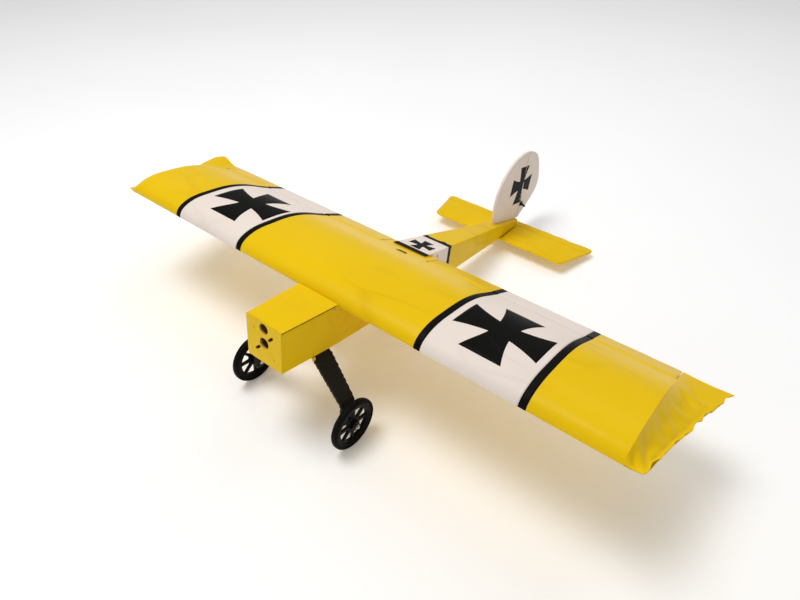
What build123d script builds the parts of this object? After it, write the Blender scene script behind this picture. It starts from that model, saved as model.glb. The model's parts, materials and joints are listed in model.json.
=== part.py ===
"""Film-covered foam-board stick model aeroplane, standing on its two wheels and its tail skid.

The airframe is drawn in its own level axes: distances aft of the wing's leading edge, heights above
the nose deck, and port positive sideways. One datum plane tilts those axes to the three-point stance.
The row's origin is on the floor, on the centre line, under the middle of the length. +X port, +Y aft, +Z up.
"""

import os
from math import asin, atan2, cos, degrees, hypot, radians, sin, tan

from build123d import *

os.makedirs("parts", exist_ok=True)

# ---- driving dimensions, millimetres and degrees -------------------------------------------------

board = 5.0  # foam board of the fuselage and tail
glue_gap = 0.1  # glue line between two boards
film = 0.3  # doubled covering film over the nose face

# fuselage, in plan and from the side: aft of the leading edge, down from the nose deck
nose_length = 108.0
nose_half_width = 35.75
cabin_half_width = 41.0
taper_start = 162.0
tail_end = 637.0
tail_half_width = 7.5
nose_depth = 72.0
belly_break = 110.0
belly_depth = 76.0
tail_flat = 92.0  # level length of the underside ahead of the tail end
tail_depth = 101.0
aft_deck_tail_drop = 85.0

# firewall behind the nose face
firewall_thickness = 3.0
spinner_hole = 18.5
vent_hole = 17.5
vent_rise = 25.5
motor_slot_radius = 19.25
motor_slot_length = 14.5
motor_slot_width = 4.5

# wing
chord = 250.0
incidence = 4.44
panel_half_span = 480.0
tip_leading_length = 23.0  # sideways run of the closed tip at the leading edge
tip_trailing_length = 71.0
wing_base = 3.0  # underside below the leading edge line
camber_rise = 31.7
rear_slope = 0.24  # of the straight rear upper surface
nose_flat = 1.0
wing_skin = 2.5
wing_sheet = 2.0
tip_edge = 3.0
spar_share = 0.368  # of the chord
spar_thickness = 6.0
rib_thickness = 5.0
rib_shares = [1 / 8, 3 / 8, 5 / 8, 7 / 8]  # of the panel's half span
wing_slot_size = (22.0, 9.0)
wing_slot_offset = (3.0, 13.0)  # to port, and ahead of the aileron hinge line
deck_tongue = 24.0  # length of the aft deck that lies over the wing's rear
tongue_edge = 0.6  # its front edge
tongue_lip = 1.75  # its top above the wing there

# ailerons
aileron_chord = 38.0
aileron_inner = 50.0
aileron_end_gap = 1.0
aileron_throw = 22.0
aileron_air = 0.9
hinge_spar = 5.0

# tail, aft of the tail end or above its deck
hinge_overhang = 4.0
stab_leading_ahead = 85.5
stab_trailing_behind = 24.0
stab_leading_half_span = 161.0
stab_trailing_half_span = 190.0
elevator_throw = 20.0
rudder_throw = 25.0
tail_air = 0.75
fin_outline_from_tail = [
    (-101.0, 18.8),
    (-111.0, 49.0),
    (-110.5, 81.0),
    (-94.0, 117.0),
    (-63.0, 145.0),
    (-3.0, 159.0),
    (46.0, 142.0),
    (72.0, 97.0),
    (77.5, 67.0),
    (57.0, 37.0),
    (8.0, 1.0),
]
skid_thickness = 3.0
skid_tip_radius = 3.0
skid_drop = 18.0
skid_ahead = 8.0

# hinges: a bracket with an eye on the fixed side, a pin across a notch on the moving side
pin_clearance = 0.05
eye_side_gap = 0.5
aileron_hinge_inset = 40.0  # from each end of the aileron
elevator_hinge_shares = [-0.93, -0.34, 0.34, 0.93]  # of the tailplane's leading half span
rudder_hinge_places = [-60.0, -5.0, 50.0]

# horns: where each stands and how far it reaches out of its surface
horn_thickness = 1.6
horn_width = 9.0
horn_foot = (1.0, 13.0)  # from the hinge line
horn_foot_thickness = 1.2
horn_hole_radius = 0.8
horn_hole_inset = 2.4
aileron_horn_place = 190.0
aileron_horn_reach = 14.0
elevator_horn_place = 20.0
elevator_horn_reach = 11.0
rudder_horn_place = -51.0
rudder_horn_reach = 14.5

# undercarriage
wheel_radius = 44.0
axle_ahead = 37.0
axle_below_nose = 97.0
half_track = 113.0
tyre_width = 12.0
tyre_depth = 6.5
rim_width = 9.0
rim_depth = 4.0
wheel_hub_radius = 8.5
hub_width = 14.0
spoke_count = 8
spoke_hub_width = 6.5
spoke_rim_width = 4.0
spoke_thickness = 4.0
axle_radius = 2.0
axle_clearance = 0.05
hub_side_gap = 0.4
bolt_flats = 7.0
bolt_head = 3.0
nut_height = 3.2
strap_thickness = 3.0
strap_crown = 34.0
strap_to_track = 14.5  # the upright's middle line, inside the wheel's
strap_knee_rise = 32.0
strap_top_front = -47.5
strap_top_rear = -13.5
strap_foot_width = 23.0
strap_bend = 6.0
gear_plate_thickness = 3.0
screw_radius = 1.5
screw_spread = (40.0, 18.0)
screw_head_height = 1.8

# wing dowels
dowel_radius = 2.0
dowel_place = (-8.0, -5.5)
dowel_proud = 1.0
band_hole_radius = 2.4
band_hole_behind = 19.65
band_hole_drop = 9.0

# cross boards inside the fuselage
wing_former_place = 30.0
tail_former_place = 400.0

# ---- places that follow from those ----------------------------------------------------------------

tail_flat_start = tail_end - tail_flat
aft_deck_start = chord - deck_tongue
aileron_hinge = chord - aileron_chord
aileron_outer = panel_half_span - aileron_end_gap
tip_leading_half_span = panel_half_span + tip_leading_length
tip_trailing_half_span = panel_half_span + tip_trailing_length
wing_slot_place = (wing_slot_offset[0], aileron_hinge - wing_slot_offset[1])
spar_place = spar_share * chord
fin_hinge = tail_end + hinge_overhang
elevator_hinge = tail_end + hinge_overhang
stab_leading = tail_end - stab_leading_ahead
stab_trailing = tail_end + stab_trailing_behind
fin_outline = [(tail_end + aft, up - aft_deck_tail_drop) for aft, up in fin_outline_from_tail]
fin_foot = fin_outline[0][0]
skid_tip = (tail_end - skid_ahead, -tail_depth - skid_drop)
axle_place = (-axle_ahead, -nose_depth - axle_below_nose)
strap_knee = (half_track - strap_to_track, axle_place[1] + strap_knee_rise)
rim_radius = wheel_radius - tyre_depth
rim_inner_radius = rim_radius - rim_depth

# ---- stance ---------------------------------------------------------------------------------------

wheel_to_skid = (skid_tip[0] - axle_place[0], skid_tip[1] - axle_place[1])
stance = degrees(
    atan2(wheel_to_skid[1], wheel_to_skid[0])
    + asin((wheel_radius - skid_tip_radius) / hypot(*wheel_to_skid))
)
up = (0, sin(radians(stance)), cos(radians(stance)))
level = Plane(origin=(0, 0, 0), x_dir=(1, 0, 0), z_dir=up)


def side_plane(x, datum=level):
    """A plane along the fuselage at x to port: its x runs aft, its y up."""
    return Plane(origin=datum.from_local_coords((x, 0, 0)), x_dir=datum.y_dir, z_dir=datum.x_dir)


# The fin and rudder share one rounded outline; the hinge line cuts it in two.
with BuildSketch(side_plane(0)) as fin_sight:
    with BuildLine():
        Spline(*fin_outline)
        Line(fin_outline[-1], fin_outline[0])
    make_face()

nose_foot = level.from_local_coords((0, -nose_length, -nose_depth))
length_middle = (nose_foot.Y + fin_sight.sketch.bounding_box().max.Y) / 2
axle_level = level.from_local_coords((0, *axle_place))
body = Plane(
    origin=(0, -length_middle, wheel_radius - axle_level.Z), x_dir=(1, 0, 0), z_dir=up
)
wing = Plane(
    origin=body.origin,
    x_dir=(1, 0, 0),
    z_dir=(0, sin(radians(stance + incidence)), cos(radians(stance + incidence))),
)


def profile(x=0.0):
    return side_plane(x, body)


def wing_profile(x=0.0):
    return side_plane(x, wing)


def waterline(z):
    """A plane parallel to the nose deck: its x runs to port, its y aft."""
    return body.offset(z)


def station(y):
    """A plane across the fuselage, facing forward: its x runs to port, its y up."""
    return Plane(
        origin=body.from_local_coords((0, y, 0)), x_dir=(1, 0, 0), z_dir=-body.y_dir
    )


# ---- lines of the airframe --------------------------------------------------------------------------


def half_width(y):
    """Outside half width of the fuselage."""
    if y < 0:
        return cabin_half_width + (cabin_half_width - nose_half_width) * y / nose_length
    if y < taper_start:
        return cabin_half_width
    share = (y - taper_start) / (tail_end - taper_start)
    return cabin_half_width + (tail_half_width - cabin_half_width) * share


def belly(y):
    """Height of the fuselage underside."""
    if y < belly_break:
        share = (y + nose_length) / (belly_break + nose_length)
        return -nose_depth - (belly_depth - nose_depth) * share
    share = min(1.0, (y - belly_break) / (tail_flat_start - belly_break))
    return -belly_depth - (tail_depth - belly_depth) * share


def wing_top(u):
    """Height of the wing's straight rear upper surface over its chord line."""
    return (chord - u) * rear_slope


def on_wing(u, v):
    """Fuselage coordinates (aft, up) of a point in the wing's own axes."""
    tilt = radians(incidence)
    return (u * cos(tilt) + v * sin(tilt), v * cos(tilt) - u * sin(tilt))


aft_deck_drop = -on_wing(aft_deck_start, wing_top(aft_deck_start))[1] - tongue_lip


def aft_deck(y):
    """Height of the sloping deck behind the wing."""
    share = (y - aft_deck_start) / (tail_end - aft_deck_start)
    return -aft_deck_drop - (aft_deck_tail_drop - aft_deck_drop) * share


def saddle(y):
    """Height of the wing's underside above the nose deck line."""
    return -(wing_base + glue_gap) / cos(radians(incidence)) - y * tan(radians(incidence))


def label_and_write(piece, name):
    piece.part.label = name
    export_step(piece.part, f"parts/{name}.step")


floor_top_gap = board + glue_gap
wall_back = -nose_length + film + firewall_thickness
wing_nose = on_wing(0, -wing_base)
before_wing = min(wing_nose[0], 0) - glue_gap
wing_tail = on_wing(chord, -wing_base)
wing_tail_top = on_wing(chord, 0)
behind_wing = max(wing_tail[0], wing_tail_top[0]) + glue_gap
band_hole_aft = behind_wing + band_hole_behind

# ---- nose face ----------------------------------------------------------------------------------------

face_height = nose_depth
face_middle = -nose_depth / 2


def nose_holes():
    with Locations((0, face_middle)):
        Circle(spinner_hole / 2, mode=Mode.SUBTRACT)
    with Locations((0, face_middle + vent_rise)):
        Circle(vent_hole / 2, mode=Mode.SUBTRACT)


with BuildPart() as firewall:
    with BuildSketch(station(wall_back)):
        with Locations((0, face_middle)):
            Rectangle(2 * nose_half_width, face_height)
        nose_holes()
        with Locations((0, face_middle)):
            with PolarLocations(motor_slot_radius, 4, start_angle=45):
                SlotOverall(motor_slot_length, motor_slot_width, mode=Mode.SUBTRACT)
    extrude(amount=firewall_thickness)
label_and_write(firewall, "firewall")

with BuildPart() as front_film:
    with BuildSketch(station(-nose_length + film)):
        with Locations((0, face_middle)):
            Rectangle(2 * nose_half_width, face_height)
        nose_holes()
        with Locations((0, face_middle)):
            with PolarLocations(motor_slot_radius, 2, start_angle=45):
                SlotOverall(motor_slot_length, motor_slot_width, mode=Mode.SUBTRACT)
    extrude(amount=film)
label_and_write(front_film, "front_film")

# ---- fuselage boards ------------------------------------------------------------------------------------

plan_stations = [wall_back, 0.0, taper_start, tail_end]
side_top = [
    (wall_back, 0),
    (before_wing, 0),
    (before_wing, saddle(before_wing)),
    (behind_wing, saddle(behind_wing)),
    (behind_wing, aft_deck(behind_wing)),
    (tail_end, aft_deck(tail_end)),
]
side_bottom = [
    (tail_end, -tail_depth),
    (tail_flat_start, -tail_depth),
    (belly_break, -belly_depth),
    (wall_back, belly(wall_back)),
]

for side, side_name in ((1, "port"), (-1, "starboard")):
    outer = [(side * half_width(y), y) for y in plan_stations]
    inner = [(side * (half_width(y) - board), y) for y in reversed(plan_stations)]
    with BuildPart() as fuselage_side:
        with BuildSketch(waterline(-tail_depth - board)):
            Polygon(*outer, *inner, align=None)
        extrude(amount=tail_depth + 2 * board)
        with BuildSketch(profile(0)):
            Polygon(*side_top, *side_bottom, align=None)
        extrude(amount=cabin_half_width * 2, both=True, mode=Mode.INTERSECT)
        with BuildSketch(profile(0)):
            with Locations(dowel_place):
                Circle(dowel_radius)
            with Locations((band_hole_aft, aft_deck(band_hole_aft) - band_hole_drop)):
                Circle(band_hole_radius)
        extrude(amount=cabin_half_width * 2, both=True, mode=Mode.SUBTRACT)
    label_and_write(fuselage_side, f"fuselage_side_{side_name}")


def between_sides(y):
    """Half width that a board has between the two sides."""
    return half_width(y) - board - glue_gap


def inner_plan(start, end):
    """Plan outline of a board between the sides from start to end."""
    marks = [start, *[y for y in (0.0, taper_start) if start < y < end], end]
    port = [(between_sides(y), y) for y in marks]
    return port + [(-x, y) for x, y in reversed(port)]


# The undercarriage strap's flat crown lies against the floor.
crown_top = belly(strap_top_rear) - glue_gap
crown_bottom = crown_top - strap_thickness
crown_middle = crown_top - strap_thickness / 2
strap_middle = (strap_top_front + strap_top_rear) / 2


def crown_screws(radius):
    """Circles at the four undercarriage screws, on a waterline sketch."""
    with Locations((0, strap_middle)):
        with GridLocations(*screw_spread, 2, 2):
            Circle(radius)


with BuildPart() as fuselage_floor:
    with BuildSketch(waterline(-tail_depth - board)):
        Polygon(*inner_plan(wall_back, tail_flat_start), align=None)
    extrude(amount=tail_depth + 2 * board)
    with BuildSketch(profile(0)):
        Polygon(
            (wall_back, belly(wall_back)),
            (belly_break, -belly_depth),
            (tail_flat_start, -tail_depth),
            (tail_flat_start, -tail_depth + board),
            (belly_break, -belly_depth + board),
            (wall_back, belly(wall_back) + board),
            align=None,
        )
    extrude(amount=cabin_half_width * 2, both=True, mode=Mode.INTERSECT)
    with BuildSketch(waterline(crown_bottom)):
        crown_screws(screw_radius + glue_gap)
    extrude(amount=4 * board, mode=Mode.SUBTRACT)
label_and_write(fuselage_floor, "fuselage_floor")

with BuildPart() as nose_deck:
    with BuildSketch(waterline(-board)):
        Polygon(*inner_plan(wall_back, before_wing), align=None)
    extrude(amount=board)
    with BuildSketch(profile(0)):
        with Locations(dowel_place):
            Circle(dowel_radius)
    extrude(amount=cabin_half_width * 2, both=True, mode=Mode.SUBTRACT)
label_and_write(nose_deck, "nose_deck")

hinge_height = wing_top(aileron_hinge)

tongue_front = on_wing(aft_deck_start, wing_top(aft_deck_start) + glue_gap)
tongue_rear = on_wing(chord + glue_gap, glue_gap)
underside_front = min(aft_deck(behind_wing) - board, tongue_rear[1])


def under_deck(y):
    """Height of the aft deck's underside behind the wing."""
    share = (y - behind_wing) / (tail_end - behind_wing)
    return underside_front + (aft_deck(tail_end) - board - underside_front) * share


with BuildPart() as aft_deck_board:
    tongue = [(half_width(y), y) for y in (aft_deck_start, behind_wing)]
    board_plan = [(between_sides(y), y) for y in (behind_wing, tail_end)]
    port_edge = tongue + board_plan
    with BuildSketch(waterline(-tail_depth - board)):
        Polygon(*port_edge, *[(-x, y) for x, y in reversed(port_edge)], align=None)
    extrude(amount=tail_depth + 2 * board)
    with BuildSketch(profile(0)):
        Polygon(
            (tongue_front[0], tongue_front[1] + tongue_edge),
            (behind_wing, aft_deck(behind_wing)),
            (tail_end, aft_deck(tail_end)),
            (tail_end, aft_deck(tail_end) - board),
            (behind_wing, underside_front),
            tongue_rear,
            tongue_front,
            align=None,
        )
    extrude(amount=cabin_half_width * 2, both=True, mode=Mode.INTERSECT)
label_and_write(aft_deck_board, "aft_deck")

# ---- formers and tail post ----------------------------------------------------------------------------


def former(front, underside):
    """A cross board under the given underside, with a lightening hole."""
    rear = front + board
    width = 2 * min(between_sides(front), between_sides(rear))
    foot = max(belly(front), belly(rear)) + floor_top_gap
    head = min(underside(front), underside(rear)) - glue_gap
    opening = (width - 3.6 * board, head - foot - 3.6 * board)
    with BuildPart() as piece:
        with BuildSketch(station(rear)):
            with Locations((0, (foot + head) / 2)):
                Rectangle(width, head - foot)
                RectangleRounded(*opening, board, mode=Mode.SUBTRACT)
        extrude(amount=board)
    return piece


label_and_write(former(wing_former_place, saddle), "former_wing")
label_and_write(former(behind_wing + 2 * board, under_deck), "former_rear")
label_and_write(former(tail_former_place, under_deck), "former_tail")

post_front = tail_end - 3 * board
with BuildPart() as tail_post:
    with BuildSketch(waterline(-tail_depth)):
        Polygon(*inner_plan(post_front, tail_end), align=None)
    extrude(amount=tail_depth)
    with BuildSketch(profile(0)):
        Polygon(
            (post_front, -tail_depth),
            (tail_end, -tail_depth),
            (tail_end, under_deck(tail_end) - glue_gap),
            (post_front, under_deck(post_front) - glue_gap),
            align=None,
        )
    extrude(amount=cabin_half_width, both=True, mode=Mode.INTERSECT)
label_and_write(tail_post, "tail_post")

with BuildPart() as wing_dowel:
    dowel_half = half_width(dowel_place[0]) + dowel_proud
    with BuildSketch(profile(-dowel_half)):
        with Locations(dowel_place):
            Circle(dowel_radius)
    extrude(amount=2 * dowel_half)
label_and_write(wing_dowel, "front_wing_dowel")

# ---- hinges ------------------------------------------------------------------------------------------------


class HingeSize:
    """One size of bracket hinge. Its frame has x aft, y up or sideways, z along the axis."""

    def __init__(self, eye, pin, width, arm, nose, air):
        self.eye = eye
        self.pin = pin
        self.width = width
        self.arm = arm
        self.nose = nose
        self.air = air
        self.notch = width + 2 * eye_side_gap
        self.pin_half = width / 2 + 1.6 * self.eye + 2


def hinge_brackets(frame, places, size):
    """Eyes on arms from the fixed surface's rear face to the axis."""
    reach = size.nose + size.air
    with BuildPart() as piece:
        for place in places:
            with BuildSketch(frame.offset(place - size.width / 2)):
                Circle(size.eye)
                with Locations((-reach / 2, 0)):
                    Rectangle(reach, size.arm)
                Circle(size.pin + pin_clearance, mode=Mode.SUBTRACT)
            extrude(amount=size.width)
    return piece


def hinge_pins(frame, places, size):
    with BuildPart() as piece:
        for place in places:
            with BuildSketch(frame.offset(place - size.pin_half)):
                Circle(size.pin)
            extrude(amount=2 * size.pin_half)
    return piece


def hinge_room(frame, places, size):
    """What a moving surface leaves out: a notch round each eye and a hole for each pin."""
    front = -size.nose - size.air
    back = size.eye + 2 * eye_side_gap
    with BuildPart() as piece:
        for place in places:
            with BuildSketch(frame.offset(place - size.notch / 2)):
                with Locations(((front + back) / 2, 0)):
                    Rectangle(back - front, 4 * size.nose)
            extrude(amount=size.notch)
            with BuildSketch(frame.offset(place - size.pin_half)):
                Circle(size.pin)
            extrude(amount=2 * size.pin_half)
    return piece.part


# ---- wing ------------------------------------------------------------------------------------------------

nose_half_depth = (hinge_height + wing_base) / 2
rear_face = aileron_hinge - nose_half_depth - aileron_air
sheet_top = wing_sheet - wing_base


def airfoil(length, rise, top_at_cove):
    """The closed wing section as a sketch, x aft and y up, crowned by rise."""
    with BuildSketch() as section:
        with BuildLine():
            crown = Spline(
                (0, nose_flat),
                (0.088 * length, rise * 0.69),
                (0.26 * length, rise * 0.94),
                (0.42 * length, rise),
                (0.62 * length, rise * 0.79),
                (rear_face / chord * length, top_at_cove),
                tangents=[(0.15, 1), (1, -rear_slope * rise / camber_rise)],
            )
            Line(crown @ 1, (length, 0))
            Polyline((length, 0), (length, -wing_base), (0, -wing_base), (0, nose_flat))
        make_face()
    return section.sketch


full_section = airfoil(chord, camber_rise, wing_top(rear_face))

# The hollow inside the skin, run down to the top of the underside sheet.
crown = full_section.edges().filter_by(GeomType.BSPLINE)[0]
if (crown @ 0).X > (crown @ 1).X:
    crown = crown.reversed()


def under_crown(share, inset):
    """A point at a share of the crown's length, inset below its surface."""
    run = crown % share
    return (crown @ share) + Vector(run.Y, -run.X) * inset


def inner_section(inset, floor, start, end):
    """What lies inside the skin at that inset, above floor, from start to end of the chord."""
    with BuildSketch() as section:
        with BuildLine():
            inside = Spline(*[under_crown(step / 10, inset) for step in range(11)])
            tail_foot = ((inside @ 1).X, floor)
            Polyline(inside @ 1, tail_foot, ((inside @ 0).X, floor), inside @ 0)
        make_face()
        with Locations(((start + end) / 2, 0)):
            Rectangle(end - start, chord, mode=Mode.INTERSECT)
    return section.sketch


hollow_rear = under_crown(1, wing_skin).X - glue_gap
hollow_section = inner_section(wing_skin, sheet_top, 0, chord)
filling_inset = wing_skin + glue_gap
filling_floor = sheet_top + glue_gap
hinge_board_front = hollow_rear - hinge_spar


def aileron_bay(side):
    """The space in which one aileron hangs."""
    with BuildPart() as space:
        with BuildSketch(wing.offset(-2 * camber_rise)):
            Polygon(
                (side * aileron_inner, rear_face),
                (side * aileron_inner, chord + board),
                (side * panel_half_span * 1.2, chord + board),
                (side * panel_half_span * 1.2, rear_face),
                align=None,
            )
        extrude(amount=4 * camber_rise)
    return space.part


aileron_sides = ((1, "port"), (-1, "starboard"))
for side, side_name in aileron_sides:
    with BuildPart() as upper_skin:
        with BuildSketch(wing_profile(side * glue_gap / 2)):
            add(full_section)
            add(hollow_section, mode=Mode.SUBTRACT)
            with Locations((chord / 2, sheet_top + glue_gap - chord / 2)):
                Rectangle(2 * chord, chord, mode=Mode.SUBTRACT)
        extrude(amount=side * panel_half_span)
        add(aileron_bay(side), mode=Mode.SUBTRACT)
        with BuildSketch(wing.offset(sheet_top)):
            with Locations(wing_slot_place):
                RectangleRounded(*wing_slot_size, wing_slot_size[1] / 2.1)
        extrude(amount=camber_rise, mode=Mode.SUBTRACT)
    label_and_write(upper_skin, f"wing_upper_skin_{side_name}")

    with BuildPart() as lower_sheet:
        with BuildSketch(wing_profile(side * glue_gap / 2)):
            with Locations((chord / 2, (sheet_top - wing_base) / 2)):
                Rectangle(chord, wing_sheet)
        extrude(amount=side * panel_half_span)
        add(aileron_bay(side), mode=Mode.SUBTRACT)
    label_and_write(lower_sheet, f"wing_lower_sheet_{side_name}")

    with BuildPart() as hinge_board:
        with BuildSketch(wing_profile(side * aileron_inner)):
            add(inner_section(filling_inset, filling_floor, hinge_board_front, hollow_rear))
        extrude(amount=side * (panel_half_span - aileron_inner))
    label_and_write(hinge_board, f"hinge_spar_{side_name}")

    with BuildPart() as ribs:
        for rib_share in rib_shares:
            rib_start = rib_share * panel_half_span - rib_thickness / 2
            with BuildSketch(wing_profile(side * rib_start)):
                add(inner_section(filling_inset, filling_floor, 0, hinge_board_front - glue_gap))
                with Locations((spar_place + spar_thickness / 2, 0)):
                    Rectangle(spar_thickness + 2 * glue_gap, chord, mode=Mode.SUBTRACT)
            extrude(amount=side * rib_thickness)
    label_and_write(ribs, f"wing_ribs_{side_name}")

with BuildPart() as wing_spar:
    with BuildSketch(wing_profile(glue_gap - panel_half_span)):
        spar_rear = spar_place + spar_thickness
        add(inner_section(filling_inset, filling_floor, spar_place, spar_rear))
    extrude(amount=2 * (panel_half_span - glue_gap))
label_and_write(wing_spar, "wing_spar")

# Each tip closes the section down to a thin raked edge.
rake = tip_trailing_half_span - tip_leading_half_span
tip_chord = hypot(rake, chord)
tip_share = tip_edge / camber_rise
for side, side_name in aileron_sides:
    tip_start = side * (panel_half_span + 2 * glue_gap)
    tip_plane = Plane(
        origin=wing.from_local_coords((side * tip_leading_half_span, 0, 0)),
        x_dir=wing.x_dir * side * rake + wing.y_dir * chord,
        z_dir=(wing.x_dir * chord - wing.y_dir * side * rake),
    )
    with BuildPart() as wing_tip:
        with BuildSketch(wing_profile(tip_start)):
            add(full_section)
        with BuildSketch(tip_plane):
            add(airfoil(tip_chord, tip_edge, wing_top(rear_face) * tip_share))
        loft(ruled=True)
    label_and_write(wing_tip, f"wing_tip_{side_name}")

# ---- ailerons ------------------------------------------------------------------------------------------

aileron_size = HingeSize(
    eye=2.2, pin=0.8, width=8.0, arm=2.2, nose=nose_half_depth, air=aileron_air
)
aileron_axis_height = hinge_height - nose_half_depth
aileron_hinge_places = [
    aileron_inner + aileron_hinge_inset,
    (aileron_inner + aileron_outer) / 2,
    aileron_outer - aileron_hinge_inset,
]


def axis_frame(datum, aft, height, x=0.0):
    """A frame on a spanwise axis: x aft, y up, z to port."""
    return Plane(
        origin=datum.from_local_coords((x, aft, height)),
        x_dir=datum.y_dir,
        z_dir=datum.x_dir,
    )


def horn(surface, reach):
    """A control horn: a foot plate and a tapered arm with a hole over the hinge line.

    The surface plane has x aft from the hinge line and y out of the covering.
    """
    near, far = horn_foot
    half_tip = horn_hole_radius + 1.8
    arm = [
        (near + 1, horn_foot_thickness),
        (far - 1, horn_foot_thickness),
        (half_tip, reach),
        (-half_tip, reach),
    ]
    with BuildPart() as piece:
        with BuildSketch(surface.offset(-horn_width / 2)):
            with Locations(((near + far) / 2, horn_foot_thickness / 2)):
                Rectangle(far - near, horn_foot_thickness)
        extrude(amount=horn_width)
        with BuildSketch(surface.offset(-horn_thickness / 2)):
            Polygon(*arm, align=None)
            with Locations((0, reach - horn_hole_inset)):
                Circle(horn_hole_radius, mode=Mode.SUBTRACT)
        extrude(amount=horn_thickness)
    return piece


aileron_axis = axis_frame(wing, aileron_hinge, aileron_axis_height)
for side, side_name in aileron_sides:
    places = [side * place for place in aileron_hinge_places]
    inner_end = side * (aileron_inner + 2 * aileron_air)
    aileron_length = aileron_outer - aileron_inner - 2 * aileron_air
    with BuildPart() as aileron:
        with BuildSketch(wing_profile(inner_end)):
            with Locations((aileron_hinge, aileron_axis_height)):
                Circle(nose_half_depth)
            Polygon(
                (aileron_hinge, hinge_height),
                (chord, 0),
                (chord, -wing_base),
                (aileron_hinge, -wing_base),
                align=None,
            )
        extrude(amount=side * aileron_length)
        add(hinge_room(aileron_axis, places, aileron_size), mode=Mode.SUBTRACT)
    label_and_write(aileron, f"aileron_{side_name}")
    label_and_write(
        hinge_brackets(aileron_axis, places, aileron_size), f"aileron_hinges_{side_name}"
    )
    label_and_write(
        hinge_pins(aileron_axis, places, aileron_size), f"aileron_hinge_pins_{side_name}"
    )
    horn_surface = Plane(
        origin=wing.from_local_coords((side * aileron_horn_place, aileron_hinge, -wing_base)),
        x_dir=wing.y_dir,
        z_dir=-wing.x_dir,
    )
    label_and_write(horn(horn_surface, aileron_horn_reach), f"aileron_horn_{side_name}")

# ---- tailplane and elevator ------------------------------------------------------------------------------

tail_size = HingeSize(eye=1.6, pin=0.5, width=6.0, arm=1.2, nose=board / 2, air=tail_air)
stab_top = -tail_depth - glue_gap
stab_middle = stab_top - board / 2
stab_rear = elevator_hinge - tail_size.nose - tail_size.air
elevator_hinge_places = [share * stab_leading_half_span for share in elevator_hinge_shares]


def stab_half_span(y):
    share = (y - stab_leading) / (stab_trailing - stab_leading)
    return stab_leading_half_span + share * (stab_trailing_half_span - stab_leading_half_span)


def raked_plan(front, rear):
    return [
        (-stab_half_span(front), front),
        (stab_half_span(front), front),
        (stab_half_span(rear), rear),
        (-stab_half_span(rear), rear),
    ]


with BuildPart() as stabiliser:
    with BuildSketch(waterline(stab_top - board)):
        Polygon(*raked_plan(stab_leading, stab_rear), align=None)
    extrude(amount=board)
label_and_write(stabiliser, "stabiliser")

elevator_axis = axis_frame(body, elevator_hinge, stab_middle)
with BuildPart() as elevator:
    with BuildSketch(waterline(stab_top - board)):
        Polygon(*raked_plan(elevator_hinge - tail_size.nose, stab_trailing), align=None)
    extrude(amount=board)
    with BuildSketch(profile(0)):
        with Locations((elevator_hinge, stab_middle)):
            Circle(tail_size.nose)
        with Locations(((elevator_hinge + stab_trailing) / 2, stab_middle)):
            Rectangle(stab_trailing - elevator_hinge, board)
    extrude(amount=stab_trailing_half_span, both=True, mode=Mode.INTERSECT)
    add(hinge_room(elevator_axis, elevator_hinge_places, tail_size), mode=Mode.SUBTRACT)
label_and_write(elevator, "elevator")
label_and_write(
    hinge_brackets(elevator_axis, elevator_hinge_places, tail_size), "elevator_hinges"
)
label_and_write(
    hinge_pins(elevator_axis, elevator_hinge_places, tail_size), "elevator_hinge_pins"
)
elevator_horn_surface = Plane(
    origin=body.from_local_coords((elevator_horn_place, elevator_hinge, stab_top - board)),
    x_dir=body.y_dir,
    z_dir=-body.x_dir,
)
label_and_write(horn(elevator_horn_surface, elevator_horn_reach), "elevator_horn")

# ---- fin and rudder ----------------------------------------------------------------------------------------

fin_rear = fin_hinge - tail_size.nose - tail_size.air

with BuildSketch() as fin_and_rudder:
    with BuildLine():
        Spline(*fin_outline)
        Line(fin_outline[-1], fin_outline[0])
    make_face()

with BuildPart() as fin:
    with BuildSketch(profile(-board / 2)):
        add(fin_and_rudder.sketch)
        with Locations((fin_rear + chord / 2, 0)):
            Rectangle(chord, 2 * chord, mode=Mode.SUBTRACT)
        foot_line = [(y, aft_deck(y) + glue_gap) for y in (fin_foot - chord, tail_end + board)]
        Polygon(
            *foot_line,
            (foot_line[1][0], foot_line[1][1] - chord),
            (foot_line[0][0], foot_line[0][1] - chord),
            align=None,
            mode=Mode.SUBTRACT,
        )
    extrude(amount=board)
label_and_write(fin, "fin")

rudder_axis = Plane(
    origin=body.from_local_coords((0, fin_hinge, 0)), x_dir=body.y_dir, z_dir=body.z_dir
)
with BuildPart() as rudder:
    with BuildSketch(profile(-board / 2)):
        add(fin_and_rudder.sketch)
        with Locations((fin_hinge - tail_size.nose - chord / 2, 0)):
            Rectangle(chord, 2 * chord, mode=Mode.SUBTRACT)
    extrude(amount=board)
    with BuildSketch(rudder_axis.offset(-chord)):
        Circle(tail_size.nose)
        with Locations((chord / 2, 0)):
            Rectangle(chord, board)
    extrude(amount=2 * chord, mode=Mode.INTERSECT)
    add(hinge_room(rudder_axis, rudder_hinge_places, tail_size), mode=Mode.SUBTRACT)
label_and_write(rudder, "rudder")
label_and_write(hinge_brackets(rudder_axis, rudder_hinge_places, tail_size), "rudder_hinges")
label_and_write(hinge_pins(rudder_axis, rudder_hinge_places, tail_size), "rudder_hinge_pins")
rudder_horn_surface = Plane(
    origin=body.from_local_coords((board / 2, fin_hinge, rudder_horn_place)),
    x_dir=body.y_dir,
    z_dir=-body.z_dir,
)
label_and_write(horn(rudder_horn_surface, rudder_horn_reach), "rudder_horn")

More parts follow.
